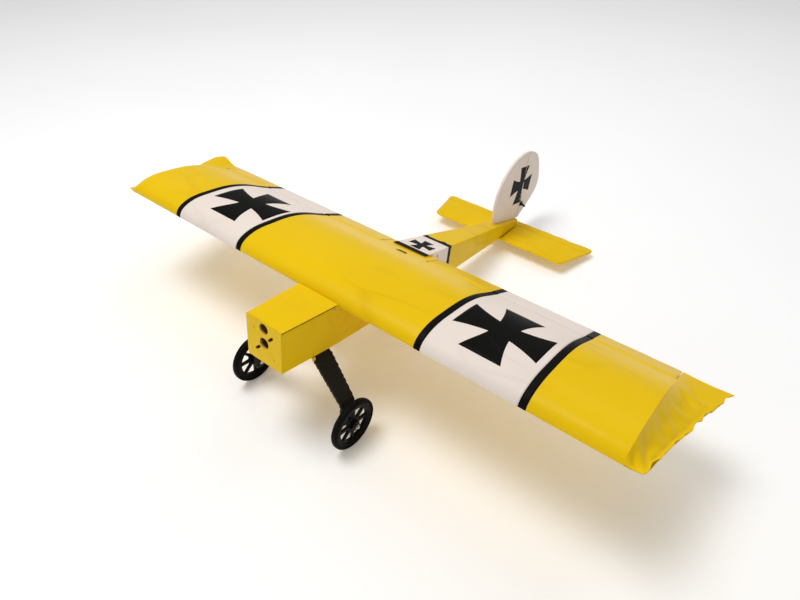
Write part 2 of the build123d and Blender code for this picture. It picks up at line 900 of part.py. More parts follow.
with BuildPart() as tail_skid:
    stab_bottom = stab_top - board - glue_gap
    skid_heel = skid_tip[0] + skid_tip_radius
    with BuildSketch(profile(-skid_thickness / 2)):
        Polygon(
            (skid_tip[0] - 10 * board, stab_bottom),
            (skid_heel, stab_bottom),
            (skid_heel, skid_tip[1]),
            (skid_tip[0] - skid_tip_radius, skid_tip[1]),
            align=None,
        )
        with Locations(skid_tip):
            Circle(skid_tip_radius)
    extrude(amount=skid_thickness)
label_and_write(tail_skid, "tail_skid")

# ---- undercarriage -----------------------------------------------------------------------------------------

foot_half = strap_foot_width / 2
knee_x, knee_z = strap_knee
foot_bottom = axle_place[1] - 1.2 * foot_half

with BuildPart() as gear_strap:
    with BuildSketch(station(0)):
        with BuildLine() as strap_line:
            FilletPolyline(
                (knee_x, foot_bottom),
                (knee_x, knee_z),
                (strap_crown, crown_middle),
                (-strap_crown, crown_middle),
                (-knee_x, knee_z),
                (-knee_x, foot_bottom),
                radius=strap_bend,
            )
        trace(line_width=strap_thickness)
    extrude(amount=2 * cabin_half_width, both=True)
    with BuildSketch(profile(0)):
        Polygon(
            (strap_top_front, 0),
            (strap_top_rear, 0),
            (strap_top_rear, crown_middle - strap_bend),
            (axle_place[0] + foot_half, axle_place[1]),
            (axle_place[0] - foot_half, axle_place[1]),
            (strap_top_front, crown_middle - strap_bend),
            align=None,
        )
        with Locations(axle_place):
            Circle(foot_half)
    extrude(amount=2 * half_track, both=True, mode=Mode.INTERSECT)
    with BuildSketch(profile(0)):
        with Locations(axle_place):
            Circle(axle_radius)
    extrude(amount=2 * half_track, both=True, mode=Mode.SUBTRACT)
    with BuildSketch(waterline(crown_middle)):
        crown_screws(screw_radius + glue_gap)
    extrude(amount=strap_thickness, both=True, mode=Mode.SUBTRACT)
label_and_write(gear_strap, "undercarriage_strap")

plate_bottom = belly(strap_top_front - board) + board + glue_gap
with BuildPart() as gear_plate:
    with BuildSketch(waterline(plate_bottom)):
        with Locations((0, strap_middle)):
            Rectangle(1.5 * screw_spread[0], 2 * screw_spread[1] + 2 * board)
            with GridLocations(*screw_spread, 2, 2):
                Circle(screw_radius, mode=Mode.SUBTRACT)
    extrude(amount=gear_plate_thickness)
label_and_write(gear_plate, "gear_plate")

with BuildPart() as gear_screws:
    with BuildSketch(waterline(crown_bottom - screw_head_height)):
        crown_screws(2 * screw_radius)
    extrude(amount=screw_head_height)
    with BuildSketch(waterline(crown_bottom)):
        crown_screws(screw_radius)
    extrude(amount=plate_bottom + gear_plate_thickness + 1 - crown_bottom)
label_and_write(gear_screws, "gear_screws")

strap_inner = strap_knee[0] - strap_thickness / 2
strap_outer = strap_knee[0] + strap_thickness / 2
hub_outer = half_track + hub_width / 2
lock_nut = hub_outer + hub_side_gap
axle_end = lock_nut + nut_height + 2

for side, side_name in aileron_sides:
    with BuildPart() as axle:
        with BuildSketch(profile(side * (strap_inner - bolt_head))):
            with Locations(axle_place):
                RegularPolygon(bolt_flats / 2, 6, major_radius=False)
        extrude(amount=side * bolt_head)
        with BuildSketch(profile(side * strap_inner)):
            with Locations(axle_place):
                Circle(axle_radius)
        extrude(amount=side * (axle_end - strap_inner))
    label_and_write(axle, f"axle_{side_name}")

    with BuildPart() as axle_nuts:
        for nut_face in (strap_outer, lock_nut):
            with BuildSketch(profile(side * nut_face)):
                with Locations(axle_place):
                    RegularPolygon(bolt_flats / 2, 6, major_radius=False)
                    Circle(axle_radius, mode=Mode.SUBTRACT)
            extrude(amount=side * nut_height)
    label_and_write(axle_nuts, f"axle_nuts_{side_name}")

    with BuildPart() as wheel:
        with BuildSketch(profile(side * half_track)):
            with Locations(axle_place):
                Circle(rim_radius)
                Circle(rim_inner_radius, mode=Mode.SUBTRACT)
        extrude(amount=rim_width / 2, both=True)
        with BuildSketch(profile(side * half_track)):
            with Locations(axle_place):
                with PolarLocations(0, spoke_count):
                    Polygon(
                        (0, -spoke_hub_width / 2),
                        (rim_inner_radius + 1, -spoke_rim_width / 2),
                        (rim_inner_radius + 1, spoke_rim_width / 2),
                        (0, spoke_hub_width / 2),
                        align=None,
                    )
        extrude(amount=spoke_thickness / 2, both=True)
        with BuildSketch(profile(side * half_track)):
            with Locations(axle_place):
                Circle(wheel_hub_radius)
        extrude(amount=hub_width / 2, both=True)
        with BuildSketch(profile(side * half_track)):
            with Locations(axle_place):
                Circle(axle_radius + axle_clearance)
        extrude(amount=hub_width, both=True, mode=Mode.SUBTRACT)
    label_and_write(wheel, f"wheel_{side_name}")

    with BuildPart() as tyre:
        with BuildSketch(profile(side * half_track)):
            with Locations(axle_place):
                Circle(wheel_radius)
                Circle(rim_radius, mode=Mode.SUBTRACT)
        extrude(amount=tyre_width / 2, both=True)
        tread = tyre.edges().filter_by(GeomType.CIRCLE).group_by(SortBy.RADIUS)[-1]
        fillet(tread, (wheel_radius - rim_radius) / 3)
    label_and_write(tyre, f"tyre_{side_name}")
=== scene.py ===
"""Film covering, markings and finishes for a foam-board stick model aeroplane."""

import json
import math

import bmesh
import bpy
import numpy as np
from bpy.props import FloatProperty, FloatVectorProperty, PointerProperty
from mathutils import Matrix, Vector, noise

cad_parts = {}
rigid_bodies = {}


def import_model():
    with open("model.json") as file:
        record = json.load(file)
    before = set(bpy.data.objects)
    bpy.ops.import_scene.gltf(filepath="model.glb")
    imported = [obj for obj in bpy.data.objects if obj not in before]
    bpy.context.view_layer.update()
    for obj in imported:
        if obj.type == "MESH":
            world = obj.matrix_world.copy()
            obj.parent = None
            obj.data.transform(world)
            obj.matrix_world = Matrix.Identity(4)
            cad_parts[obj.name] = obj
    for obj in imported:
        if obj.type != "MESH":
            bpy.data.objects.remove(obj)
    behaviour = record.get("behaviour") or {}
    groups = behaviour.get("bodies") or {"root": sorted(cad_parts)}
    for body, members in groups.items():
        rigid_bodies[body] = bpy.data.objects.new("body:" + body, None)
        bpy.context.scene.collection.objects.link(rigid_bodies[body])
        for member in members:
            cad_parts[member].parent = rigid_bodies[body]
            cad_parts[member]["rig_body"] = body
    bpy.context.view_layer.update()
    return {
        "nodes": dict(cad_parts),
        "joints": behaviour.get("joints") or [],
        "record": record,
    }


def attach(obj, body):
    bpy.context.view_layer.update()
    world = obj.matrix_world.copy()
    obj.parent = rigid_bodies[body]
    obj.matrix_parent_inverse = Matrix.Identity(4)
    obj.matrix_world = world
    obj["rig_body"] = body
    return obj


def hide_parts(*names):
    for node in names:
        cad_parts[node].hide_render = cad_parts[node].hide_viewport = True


bl_info = {
    "name": "Stick Aeroplane Covering",
    "version": (1, 0, 0),
    "blender": (4, 5, 0),
    "location": "View3D > Sidebar > Aeroplane",
    "description": "Film covering, markings and finishes for a foam-board model aeroplane",
    "category": "Object",
}

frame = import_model()
JOINTS = {joint["name"]: joint for joint in frame["joints"]}
MOUNTS = {mount["name"]: mount for mount in frame["record"]["mounts"]}
MM = 0.001


# ---- airframe datums -------------------------------------------------------------------------


class Datum:
    """Axes of the airframe or the wing: x to port, y aft, z up, with its origin on the leading edge."""

    def __init__(self, origin, up):
        self.up = Vector(up).normalized()
        self.aft = Vector((0, self.up.z, -self.up.y))
        self.origin = Vector(origin)

    def at(self, x, y, z):
        """A point given in millimetres in this datum."""
        return self.origin + (Vector((x, 0, 0)) + self.aft * y + self.up * z) * MM

    def turn(self, x, y, z):
        """A direction given in this datum."""
        return Vector((x, 0, 0)) + self.aft * y + self.up * z

    def local(self, point):
        """A point of the row frame, in this datum's millimetres."""
        offset = Vector(point) - self.origin
        return Vector((offset.x, offset.dot(self.aft), offset.dot(self.up))) / MM


TAIL_HINGE = 641.0
UP = Vector(JOINTS["rudder_hinge"]["axis"])
BODY = Datum(Vector(JOINTS["rudder_hinge"]["pos_m"]) - Vector((0, UP.z, -UP.y)) * TAIL_HINGE * MM, UP)
WING = Datum(BODY.origin, MOUNTS["wing_cable_slot"]["axis"])
SLOT = WING.local(MOUNTS["wing_cable_slot"]["pos_m"])
SLOT_SIZE = (22.0, 9.0)
SLOT_CORNER = 4.2
BAND_HOLE = BODY.local(MOUNTS["rear_band_dowel_hole"]["pos_m"])
INCIDENCE = BODY.up.angle(WING.up)

CHORD = 250.0
AILERON_LINE = 212.0
AILERON_INNER = 50.0
PANEL_END = 480.0
TIP_FRONT = 503.0
TIP_REAR = 551.0
WING_FLOOR = -3.0
SHEET_TOP = -0.9
TAIL_END = 637.0
NOSE = -108.0
DECK_FRONT = 226.0
REAR_SLOPE = 0.24
AILERON_NOSE = 6.06
AILERON_AXIS_UP = 3.06
AILERON_AIR = 0.9
BOARD_HALF = 2.5
CABIN_HALF = 41.0
NOSE_HALF = 35.75
TAIL_HALF = 7.5
TAPER_START = 162.0
NOSE_DEPTH = 72.0
BELLY_BREAK = 110.0
BELLY_DEPTH = 76.0
MOTOR_SLOT_CIRCLE = 19.25
MOTOR_SLOT_STRAIGHT = 5.0
MOTOR_SLOT_END = 2.3
STRIP_THICKNESS = 0.00008
SHARP_ANGLE = math.radians(30)
DECK_SLOPE = (-10.0 + 85.0) / (TAIL_END - DECK_FRONT)


# ---- settings --------------------------------------------------------------------------------


def colour(name, value, words):
    return FloatVectorProperty(
        name=name, description=words, default=value, subtype="COLOR", size=3, min=0, max=1
    )


def length(name, value, words):
    return FloatProperty(name=name, description=words, default=value, min=0, precision=4, unit="LENGTH")


class AeroplaneFilm(bpy.types.PropertyGroup):
    """Colours and lie of the covering film"""

    yellow: colour("Yellow", (0.88, 0.57, 0.004), "Film on the wing, fuselage and tailplane")
    white: colour("White", (0.88, 0.77, 0.69), "Film of the bands, the fin and the rudder")
    black: colour("Black", (0.0030, 0.0028, 0.0024), "Film of the stripes and crosses")
    thickness: length("Thickness", 0.00012, "Thickness of a film marking")
    lift: length("Lift", 0.00016, "Height of a marking over the film below it")
    ripple: length("Ripple", 0.00035, "Height of the slack in the film")


class AeroplaneMarkings(bpy.types.PropertyGroup):
    """Places and sizes of the bands and crosses"""

    band_inner: length("Band inner end", 0.1806, "Inner end of a wing band from the middle")
    band_outer: length("Band outer end", 0.3555, "Outer end of a wing band from the middle")
    stripe: length("Stripe", 0.0112, "Width of a wing stripe")
    cross_reach: length("Cross reach", 0.0655, "Half the width of a wing cross")
    port_cross: length("Port cross", 0.2676, "Middle of the port wing cross from the middle")
    starboard_cross: length("Starboard cross", 0.2640, "Middle of the starboard wing cross")
    port_aft: length("Port cross aft", 0.0880, "Port cross behind the leading edge")
    starboard_aft: length("Starboard cross aft", 0.0945, "Starboard cross behind the edge")
    deck_band_end: length("Deck band end", 0.3185, "Rear end of the fuselage band")
    deck_stripe: length("Deck stripe", 0.0100, "Width of a fuselage stripe")
    deck_cross_reach: length("Deck cross reach", 0.0235, "Half the width of the deck cross")
    fin_cross_reach: length("Fin cross reach", 0.0430, "Half the height of the fin cross")


class AeroplaneStage(bpy.types.PropertyGroup):
    """Camera"""

    azimuth: FloatProperty(
        name="Azimuth", description="Camera round to port", default=0.6114, subtype="ANGLE"
    )
    elevation: FloatProperty(
        name="Elevation", description="Camera over the deck", default=0.5898, subtype="ANGLE"
    )
    roll: FloatProperty(name="Roll", description="Camera roll", default=0.1070, subtype="ANGLE")
    distance: length("Distance", 0.9110, "Camera to the point it looks at")
    lens: FloatProperty(name="Lens", description="Focal length", default=27.04, min=1)


# ---- shader helpers --------------------------------------------------------------------------


def node(tree, kind, inputs=None, **settings):
    """Adds a shader node, sets its settings, then its input values or links."""
    made = tree.nodes.new(kind)
    for key, value in settings.items():
        setattr(made, key, value)
    for key, value in (inputs or {}).items():
        if isinstance(value, bpy.types.NodeSocket):
            tree.links.new(value, made.inputs[key])
        else:
            made.inputs[key].default_value = value
    return made


def maths(tree, operation, first, second=0.0, clamp=False):
    made = node(tree, "ShaderNodeMath", {0: first, 1: second}, operation=operation)
    made.use_clamp = clamp
    return made.outputs[0]


def ramp(tree, value, low, high, to_low=0.0, to_high=1.0):
    """A smooth step of value from low to high."""
    made = node(
        tree,
        "ShaderNodeMapRange",
        {"Value": value, "From Min": low, "From Max": high, "To Min": to_low, "To Max": to_high},
        interpolation_type="SMOOTHSTEP",
    )
    return made.outputs["Result"]


def noise_value(tree, vector, scale, detail=2.0, roughness=0.5, distortion=0.0):
    made = node(
        tree,
        "ShaderNodeTexNoise",
        {
            "Vector": vector,
            "Scale": scale,
            "Detail": detail,
            "Roughness": roughness,
            "Distortion": distortion,
        },
    )
    return made.outputs["Fac"]


def new_group(name, inputs, outputs):
    """An empty shader group with named sockets; inputs are (name, type, default)."""
    tree = bpy.data.node_groups.new(name, "ShaderNodeTree")
    for title, kind, value in inputs:
        socket = tree.interface.new_socket(title, in_out="INPUT", socket_type=kind)
        if value is not None:
            socket.default_value = value
    for title, kind in outputs:
        tree.interface.new_socket(title, in_out="OUTPUT", socket_type=kind)
    entry = tree.nodes.new("NodeGroupInput")
    leave = tree.nodes.new("NodeGroupOutput")
    return tree, entry.outputs, leave.inputs


FLOAT, COLOUR, VECTOR = "NodeSocketFloat", "NodeSocketColor", "NodeSocketVector"


def slack_film_group():
    """Soft pillows, fold lines and the fine tooth of shrunk film over board."""
    tree, given, out = new_group(
        "Slack Film",
        [("Vector", VECTOR, None), ("Folds", FLOAT, 0.5), ("Tooth", FLOAT, 0.2)],
        [("Height", FLOAT), ("Fold Shading Mask", FLOAT)],
    )
    pillows = noise_value(tree, given["Vector"], 9.0, 3.0, 0.45, 0.6)
    stretched = node(tree, "ShaderNodeMapping", {"Vector": given["Vector"], "Scale": (7.0, 19.0, 15.0)})
    bent = noise_value(tree, given["Vector"], 6.0, 1.0)
    moved = node(
        tree,
        "ShaderNodeVectorMath",
        {0: stretched.outputs[0], 1: node(tree, "ShaderNodeCombineXYZ", {0: bent, 1: bent}).outputs[0]},
        operation="ADD",
    )
    cells = node(
        tree, "ShaderNodeTexVoronoi", {"Vector": moved.outputs[0], "Scale": 1.0}, feature="DISTANCE_TO_EDGE"
    )
    fold = ramp(tree, cells.outputs["Distance"], 0.0, 0.10, 1.0, 0.0)
    where = ramp(tree, noise_value(tree, given["Vector"], 5.0), 0.48, 0.66)
    fold = maths(tree, "MULTIPLY", fold, where)
    tooth = noise_value(tree, given["Vector"], 420.0, 2.0)
    height = maths(tree, "ADD", pillows, maths(tree, "MULTIPLY", fold, given["Folds"]))
    height = maths(tree, "ADD", height, maths(tree, "MULTIPLY", tooth, given["Tooth"]))
    tree.links.new(height, out["Height"])
    # The fold lines also go out as a mask, along which the film's colour gets painted shade.
    tree.links.new(fold, out["Fold Shading Mask"])
    return tree


def handled_tone_group():
    """Gentle changes of tone and shine from handling, and a mix towards Shade along the Mask: on film this
    is painted shade in the folds (a painted sheen on the black film, whose Shade is lighter), on tape a
    lighter line at each lap.
    """
    tree, given, out = new_group(
        "Handled Tone",
        [
            ("Vector", VECTOR, None),
            ("Color", COLOUR, (0.8, 0.8, 0.8, 1)),
            ("Shade", COLOUR, (0.5, 0.5, 0.5, 1)),
            ("Amount", FLOAT, 0.25),
            ("Mask", FLOAT, 0.0),
            ("Roughness", FLOAT, 0.3),
        ],
        [("Color", COLOUR), ("Roughness", FLOAT)],
    )
    broad = ramp(tree, noise_value(tree, given["Vector"], 4.5, 4.0, 0.6), 0.38, 0.72)
    spots = ramp(tree, noise_value(tree, given["Vector"], 90.0, 3.0, 0.7), 0.60, 0.78)
    amount = maths(tree, "MULTIPLY", broad, given["Amount"])
    # Along the Mask the colour mixes towards Shade: painted shade in the film's folds, a painted sheen in
    # the black film's folds, a lighter line at the tape's laps.
    amount = maths(tree, "ADD", amount, maths(tree, "MULTIPLY", given["Mask"], 0.35))
    amount = maths(tree, "ADD", amount, maths(tree, "MULTIPLY", spots, 0.06), clamp=True)
    mixed = node(tree, "ShaderNodeMix", {0: amount, 6: given["Color"], 7: given["Shade"]}, data_type="RGBA")
    rough = maths(tree, "ADD", given["Roughness"], maths(tree, "MULTIPLY", broad, 0.12))
    rough = maths(tree, "ADD", rough, maths(tree, "MULTIPLY", spots, 0.10), clamp=True)
    tree.links.new(mixed.outputs[2], out["Color"])
    tree.links.new(rough, out["Roughness"])
    return tree


def grain_group():
    """Veneer grain of birch plywood and hardwood."""
    tree, given, out = new_group(
        "Veneer Grain",
        [("Vector", VECTOR, None), ("Stretch", VECTOR, (4.0, 60.0, 60.0))],
        [("Grain", FLOAT)],
    )
    place = node(
        tree, "ShaderNodeVectorMath", {0: given["Vector"], 1: given["Stretch"]}, operation="MULTIPLY"
    )
    wave = noise_value(tree, place.outputs[0], 3.0, 5.0, 0.65, 0.8)
    tree.links.new(ramp(tree, wave, 0.3, 0.7), out["Grain"])
    return tree


def tape_group():
    """Overlapping turns of cloth tape: slanted lap edges over a woven tooth."""
    tree, given, out = new_group(
        "Wrapped Tape",
        [("Vector", VECTOR, None), ("Turns", FLOAT, 90.0)],
        [("Height", FLOAT), ("Lap", FLOAT)],
    )
    parts = node(tree, "ShaderNodeSeparateXYZ", {0: given["Vector"]})
    slanted = maths(tree, "ADD", parts.outputs["Z"], maths(tree, "MULTIPLY", parts.outputs["Y"], 0.35))
    wobble = maths(tree, "MULTIPLY", noise_value(tree, given["Vector"], 28.0), 0.012)
    along = maths(tree, "MULTIPLY", maths(tree, "ADD", slanted, wobble), given["Turns"])
    saw = maths(tree, "FRACT", along)
    lap = ramp(tree, saw, 0.0, 0.12, 1.0, 0.0)
    tooth = noise_value(tree, given["Vector"], 900.0, 2.0, 0.7)
    lumps = noise_value(tree, given["Vector"], 120.0, 3.0, 0.6)
    height = maths(tree, "ADD", maths(tree, "MULTIPLY", saw, 0.8), maths(tree, "MULTIPLY", tooth, 0.25))
    height = maths(tree, "ADD", height, maths(tree, "MULTIPLY", lumps, 0.9))
    tree.links.new(height, out["Height"])
    tree.links.new(lap, out["Lap"])
    return tree


GROUPS = {}


def group_node(tree, name, inputs):
    makers = {
        "Slack Film": slack_film_group,
        "Handled Tone": handled_tone_group,
        "Veneer Grain": grain_group,
        "Wrapped Tape": tape_group,
    }
    if name not in GROUPS:
        GROUPS[name] = makers[name]()
    return node(tree, "ShaderNodeGroup", inputs, node_tree=GROUPS[name])


def new_material(name):
    """A material with a Principled shader; gives its tree, shader and object coordinates."""
    material = bpy.data.materials.new(name)
    material.use_nodes = True
    tree = material.node_tree
    tree.nodes.clear()
    shader = tree.nodes.new("ShaderNodeBsdfPrincipled")
    leave = tree.nodes.new("ShaderNodeOutputMaterial")
    tree.links.new(shader.outputs[0], leave.inputs["Surface"])
    place = tree.nodes.new("ShaderNodeTexCoord").outputs["Object"]
    return material, tree, shader, place


def set_bump(tree, shader, height, strength, distance):
    made = node(tree, "ShaderNodeBump", {"Height": height, "Strength": strength, "Distance": distance})
    tree.links.new(made.outputs[0], shader.inputs["Normal"])


def rgba(value):
    return (*value[:3], 1.0)


def film_material(
    name, tint, shade, roughness, coat, folds=0.5, strength=0.35, amount=0.22, shine=0.08
):
    material, tree, shader, place = new_material(name)
    shader.inputs["Specular IOR Level"].default_value = shine
    slack = group_node(tree, "Slack Film", {"Vector": place, "Folds": folds, "Tooth": 0.05})
    tone = group_node(
        tree,
        "Handled Tone",
        {
            "Vector": place,
            "Color": rgba(tint),
            "Shade": rgba(shade),
            "Amount": amount,
            # Painted shade along the film's folds.
            "Mask": slack.outputs["Fold Shading Mask"],
            "Roughness": roughness,
        },
    )
    tree.links.new(tone.outputs["Color"], shader.inputs["Base Color"])
    tree.links.new(tone.outputs["Roughness"], shader.inputs["Roughness"])
    shader.inputs["Coat Weight"].default_value = coat
    shader.inputs["Coat Roughness"].default_value = 0.12
    shader.inputs["IOR"].default_value = 1.47
    set_bump(tree, shader, slack.outputs["Height"], strength, 0.0016)
    return material


def wood_material(name, light, dark, stretch):
    material, tree, shader, place = new_material(name)
    grain = group_node(tree, "Veneer Grain", {"Vector": place, "Stretch": stretch})
    mixed = node(
        tree, "ShaderNodeMix", {0: grain.outputs["Grain"], 6: rgba(light), 7: rgba(dark)}, data_type="RGBA"
    )
    tree.links.new(mixed.outputs[2], shader.inputs["Base Color"])
    shader.inputs["Roughness"].default_value = 0.62
    set_bump(tree, shader, grain.outputs["Grain"], 0.3, 0.0003)
    return material


def moulded_material(name, tint, roughness, tooth=300.0, strength=0.25, metallic=0.0, shine=0.07):
    """Moulded, rubber or plated surfaces: fine tooth, handling marks."""
    material, tree, shader, place = new_material(name)
    shader.inputs["Specular IOR Level"].default_value = shine
    tone = group_node(
        tree,
        "Handled Tone",
        {
            "Vector": place,
            "Color": rgba(tint),
            "Shade": rgba([min(1.0, 1.7 * c + 0.004) for c in tint]),
            "Amount": 0.35,
            "Roughness": roughness,
        },
    )
    tree.links.new(tone.outputs["Color"], shader.inputs["Base Color"])
    tree.links.new(tone.outputs["Roughness"], shader.inputs["Roughness"])
    shader.inputs["Metallic"].default_value = metallic
    set_bump(tree, shader, noise_value(tree, place, tooth, 3.0, 0.6), strength, 0.0003)
    return material


def tape_material(name, tint):
    material, tree, shader, place = new_material(name)
    tape = group_node(tree, "Wrapped Tape", {"Vector": place, "Turns": 95.0})
    tone = group_node(
        tree,
        "Handled Tone",
        {
            "Vector": place,
            "Color": rgba(tint),
            "Shade": (0.022, 0.022, 0.019, 1),
            "Amount": 0.4,
            "Mask": tape.outputs["Lap"],
            "Roughness": 0.48,
        },
    )
    tree.links.new(tone.outputs["Color"], shader.inputs["Base Color"])
    tree.links.new(tone.outputs["Roughness"], shader.inputs["Roughness"])
    shader.inputs["Specular IOR Level"].default_value = 0.18
    set_bump(tree, shader, tape.outputs["Height"], 0.9, 0.0014)
    return material


MATERIALS = {}


def finish_named(name):
    """The material of that name, made the first time it is asked for."""
    if name in MATERIALS:
        return MATERIALS[name]
    film = bpy.context.scene.aeroplane_film
    yellow, white, black = film.yellow, film.white, film.black
    # A darker yellow: random tone, and painted shade in the film's folds.
    deep = (yellow[0] * 0.80, yellow[1] * 0.74, yellow[2] * 0.6)
    makers = {
        "Yellow Film": lambda: film_material(name, yellow, deep, 0.26, 0.02, 0.35, 0.30),
        "Yellow Wing Film": lambda: film_material(
            name, yellow, deep, 0.28, 0.02, 0.10, 0.16, 0.16
        ),
        "White Film": lambda: film_material(
            name, white, [c * 0.88 for c in white], 0.42, 0.03, 0.10, 0.12, 0.30
        ),
        # Its Shade is lighter than the black, so its folds get a painted sheen.
        "Black Film": lambda: film_material(
            name, black, (0.008, 0.008, 0.007), 0.40, 0.0, 0.1, 0.12, 0.3, 0.06
        ),
        "Bare Board": lambda: film_material(
            name, (0.78, 0.77, 0.73), (0.62, 0.60, 0.55), 0.75, 0.0, 0.05, 0.2
        ),
        "Birch Ply": lambda: wood_material(
            name, (0.62, 0.42, 0.22), (0.38, 0.23, 0.10), (40.0, 6.0, 40.0)
        ),
        "Beech Dowel": lambda: wood_material(
            name, (0.60, 0.42, 0.24), (0.42, 0.27, 0.13), (6.0, 70.0, 70.0)
        ),
        "Black Nylon": lambda: moulded_material(name, (0.005, 0.005, 0.005), 0.38),
        "Wheel Plastic": lambda: moulded_material(name, (0.003, 0.003, 0.0032), 0.36, 420.0, 0.35),
        "Tyre Rubber": lambda: moulded_material(name, (0.003, 0.003, 0.003), 0.6, 700.0, 0.6),
        "Bright Steel": lambda: moulded_material(
            name, (0.56, 0.57, 0.58), 0.26, 900.0, 0.12, 1.0, 0.5
        ),
        "Black Tape": lambda: tape_material(name, (0.0055, 0.0058, 0.0045)),
        # Dark brown strips and dots that stand in for shade: painted shadow under the deck film's edge,
        # painted shade in the tail root's gap and in the film's pinholes.
        "Painted Shade Brown": lambda: moulded_material(name, (0.05, 0.022, 0.004), 0.55),
        # Near-black brown that stands in for the shade inside the cable slot: painted shade.
        "Painted Shade Hollow": lambda: moulded_material(name, (0.012, 0.006, 0.003), 0.9, 200.0, 0.5),
    }
    MATERIALS[name] = makers[name]()
    return MATERIALS[name]


# ---- mesh helpers ----------------------------------------------------------------------------


def patch(across, along, place):
    """A grid sheet whose corner (i, j) is at place(across[i], along[j])."""
    mesh = bmesh.new()
    bmesh.ops.create_grid(mesh, x_segments=len(across) - 1, y_segments=len(along) - 1, size=0.5)
    for vert in mesh.verts:
        i = round((vert.co.x + 0.5) * (len(across) - 1))
        j = round((vert.co.y + 0.5) * (len(along) - 1))
        vert.co = place(across[i], along[j])
    return mesh


def close_loft(mesh):
    """Joins a rolled-up patch along its seam, caps its ends and turns its faces outwards."""
    bmesh.ops.remove_doubles(mesh, verts=mesh.verts, dist=2e-6)
    rim = [edge for edge in mesh.edges if edge.is_boundary]
    bmesh.ops.holes_fill(mesh, edges=rim, sides=0)
    bmesh.ops.recalc_face_normals(mesh, faces=mesh.faces)
    return mesh


def shade(mesh, limit=35.0):
    """Smooth shading that stays crisp over edges sharper than limit degrees."""
    for face in mesh.faces:
        face.smooth = True
    for edge in mesh.edges:
        if len(edge.link_faces) == 2:
            edge.smooth = edge.calc_face_angle(0.0) < math.radians(limit)


def as_data(name, mesh):
    """Mesh data made of the bmesh, which is freed."""
    data = bpy.data.meshes.new(name)
    mesh.to_mesh(data)
    mesh.free()
    return data


def linked(name, data):
    """A new object in the scene."""
    made = bpy.data.objects.new(name, data)
    bpy.context.scene.collection.objects.link(made)
    return made


def add_piece(name, mesh, finish, body, limit=35.0):
    """Makes an object of the bmesh, gives it its finish and lets it ride on a CAD body."""
    shade(mesh, limit)
    piece = linked(name, as_data(name, mesh))
    piece.data.materials.append(finish_named(finish))
    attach(piece, body)
    return piece


def thicken(piece, thickness):
    """Gives a sheet its thickness, inwards."""
    wall = piece.modifiers.new("thickness", "SOLIDIFY")
    wall.thickness = thickness
    wall.offset = -1.0
    return piece


def cut_away(piece, cutter_mesh):
    """Cuts the bmesh out of a piece for good."""
    data = as_data("cutter", cutter_mesh)
    cutter = linked("cutter", data)
    change = piece.modifiers.new("cut", "BOOLEAN")
    change.object = cutter
    change.operation = "DIFFERENCE"
    change.solver = "EXACT"
    graph = bpy.context.evaluated_depsgraph_get()
    result = bpy.data.meshes.new_from_object(piece.evaluated_get(graph))
    old = piece.data
    piece.modifiers.clear()
    piece.data = result
    bpy.data.meshes.remove(old)
    bpy.data.objects.remove(cutter)
    bpy.data.meshes.remove(data)


def slice_at(mesh, point, normal, dist=1e-7, **clear):
    """Cuts the bmesh along a plane, and clears a side of it if asked."""
    geom = [*mesh.verts, *mesh.edges, *mesh.faces]
    bmesh.ops.bisect_plane(mesh, geom=geom, dist=dist, plane_co=point, plane_no=normal, **clear)


def drill_band_hole(piece):
    """Opens the hole of the rear band dowel right through a piece, and clears the plug left in it."""
    radius = MOUNTS["rear_band_dowel_hole"]["dims"]["r_mm"]
    drill = bmesh.new()
    bmesh.ops.create_cone(
        drill, cap_ends=True, segments=32, radius1=radius * MM, radius2=radius * MM, depth=0.2
    )
    for vert in drill.verts:
        vert.co = BODY.at(vert.co.z / MM, BAND_HOLE.y + vert.co.x / MM, BAND_HOLE.z + vert.co.y / MM)
    bmesh.ops.recalc_face_normals(drill, faces=drill.faces)
    cut_away(piece, drill)
    mesh = bmesh.new()
    mesh.from_mesh(piece.data)
    plug = []
    for face in mesh.faces:
        spot = BODY.local(face.calc_center_median())
        if math.hypot(spot.y - BAND_HOLE.y, spot.z - BAND_HOLE.z) < 0.985 * radius:
            plug.append(face)
    bmesh.ops.delete(mesh, geom=plug, context="FACES")
    mesh.to_mesh(piece.data)
    mesh.free()


def softened(
    name, finish, radius=0.8, segments=3, corners=None, crisp=None, cuts=None, move=None
):
    """A CAD board with its planar faces joined, its edges rounded and its outline moved."""
    source = frame["nodes"][name]
    mesh = bmesh.new()
    mesh.from_mesh(source.data)
    bmesh.ops.remove_doubles(mesh, verts=mesh.verts, dist=1e-6)
    bmesh.ops.dissolve_limit(mesh, angle_limit=math.radians(1.0), verts=mesh.verts, edges=mesh.edges)
    if corners:
        chosen = [edge for edge in mesh.edges if corners(edge)]
        bmesh.ops.bevel(
            mesh, geom=chosen, offset=0.009, segments=6, profile=0.5, affect="EDGES", material=-1
        )
    sharp = [
        edge
        for edge in mesh.edges
        if len(edge.link_faces) == 2
        and edge.calc_face_angle(0.0) > SHARP_ANGLE
        and not (crisp and all(crisp(vert.co) for vert in edge.verts))
    ]
    bmesh.ops.bevel(
        mesh,
        geom=sharp,
        offset=radius * MM,
        segments=segments,
        profile=0.5,
        affect="EDGES",
        clamp_overlap=True,
        material=-1,
    )
    for point, normal in cuts or []:
        slice_at(mesh, point, normal, 1e-6)
    if move:
        for vert in mesh.verts:
            vert.co = move(vert.co)
    bmesh.ops.triangulate(mesh, faces=[face for face in mesh.faces if len(face.verts) > 4])
    bmesh.ops.recalc_face_normals(mesh, faces=mesh.faces)
    body = source["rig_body"]
    piece = add_piece(f"{name}_covered", mesh, finish, body)
    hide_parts(name)
    return piece


def finish_nodes(finish, *names):
    """Gives CAD nodes a finish without touching their shape."""
    for name in names:
        data = frame["nodes"][name].data
        data.materials.clear()
        data.materials.append(finish_named(finish))


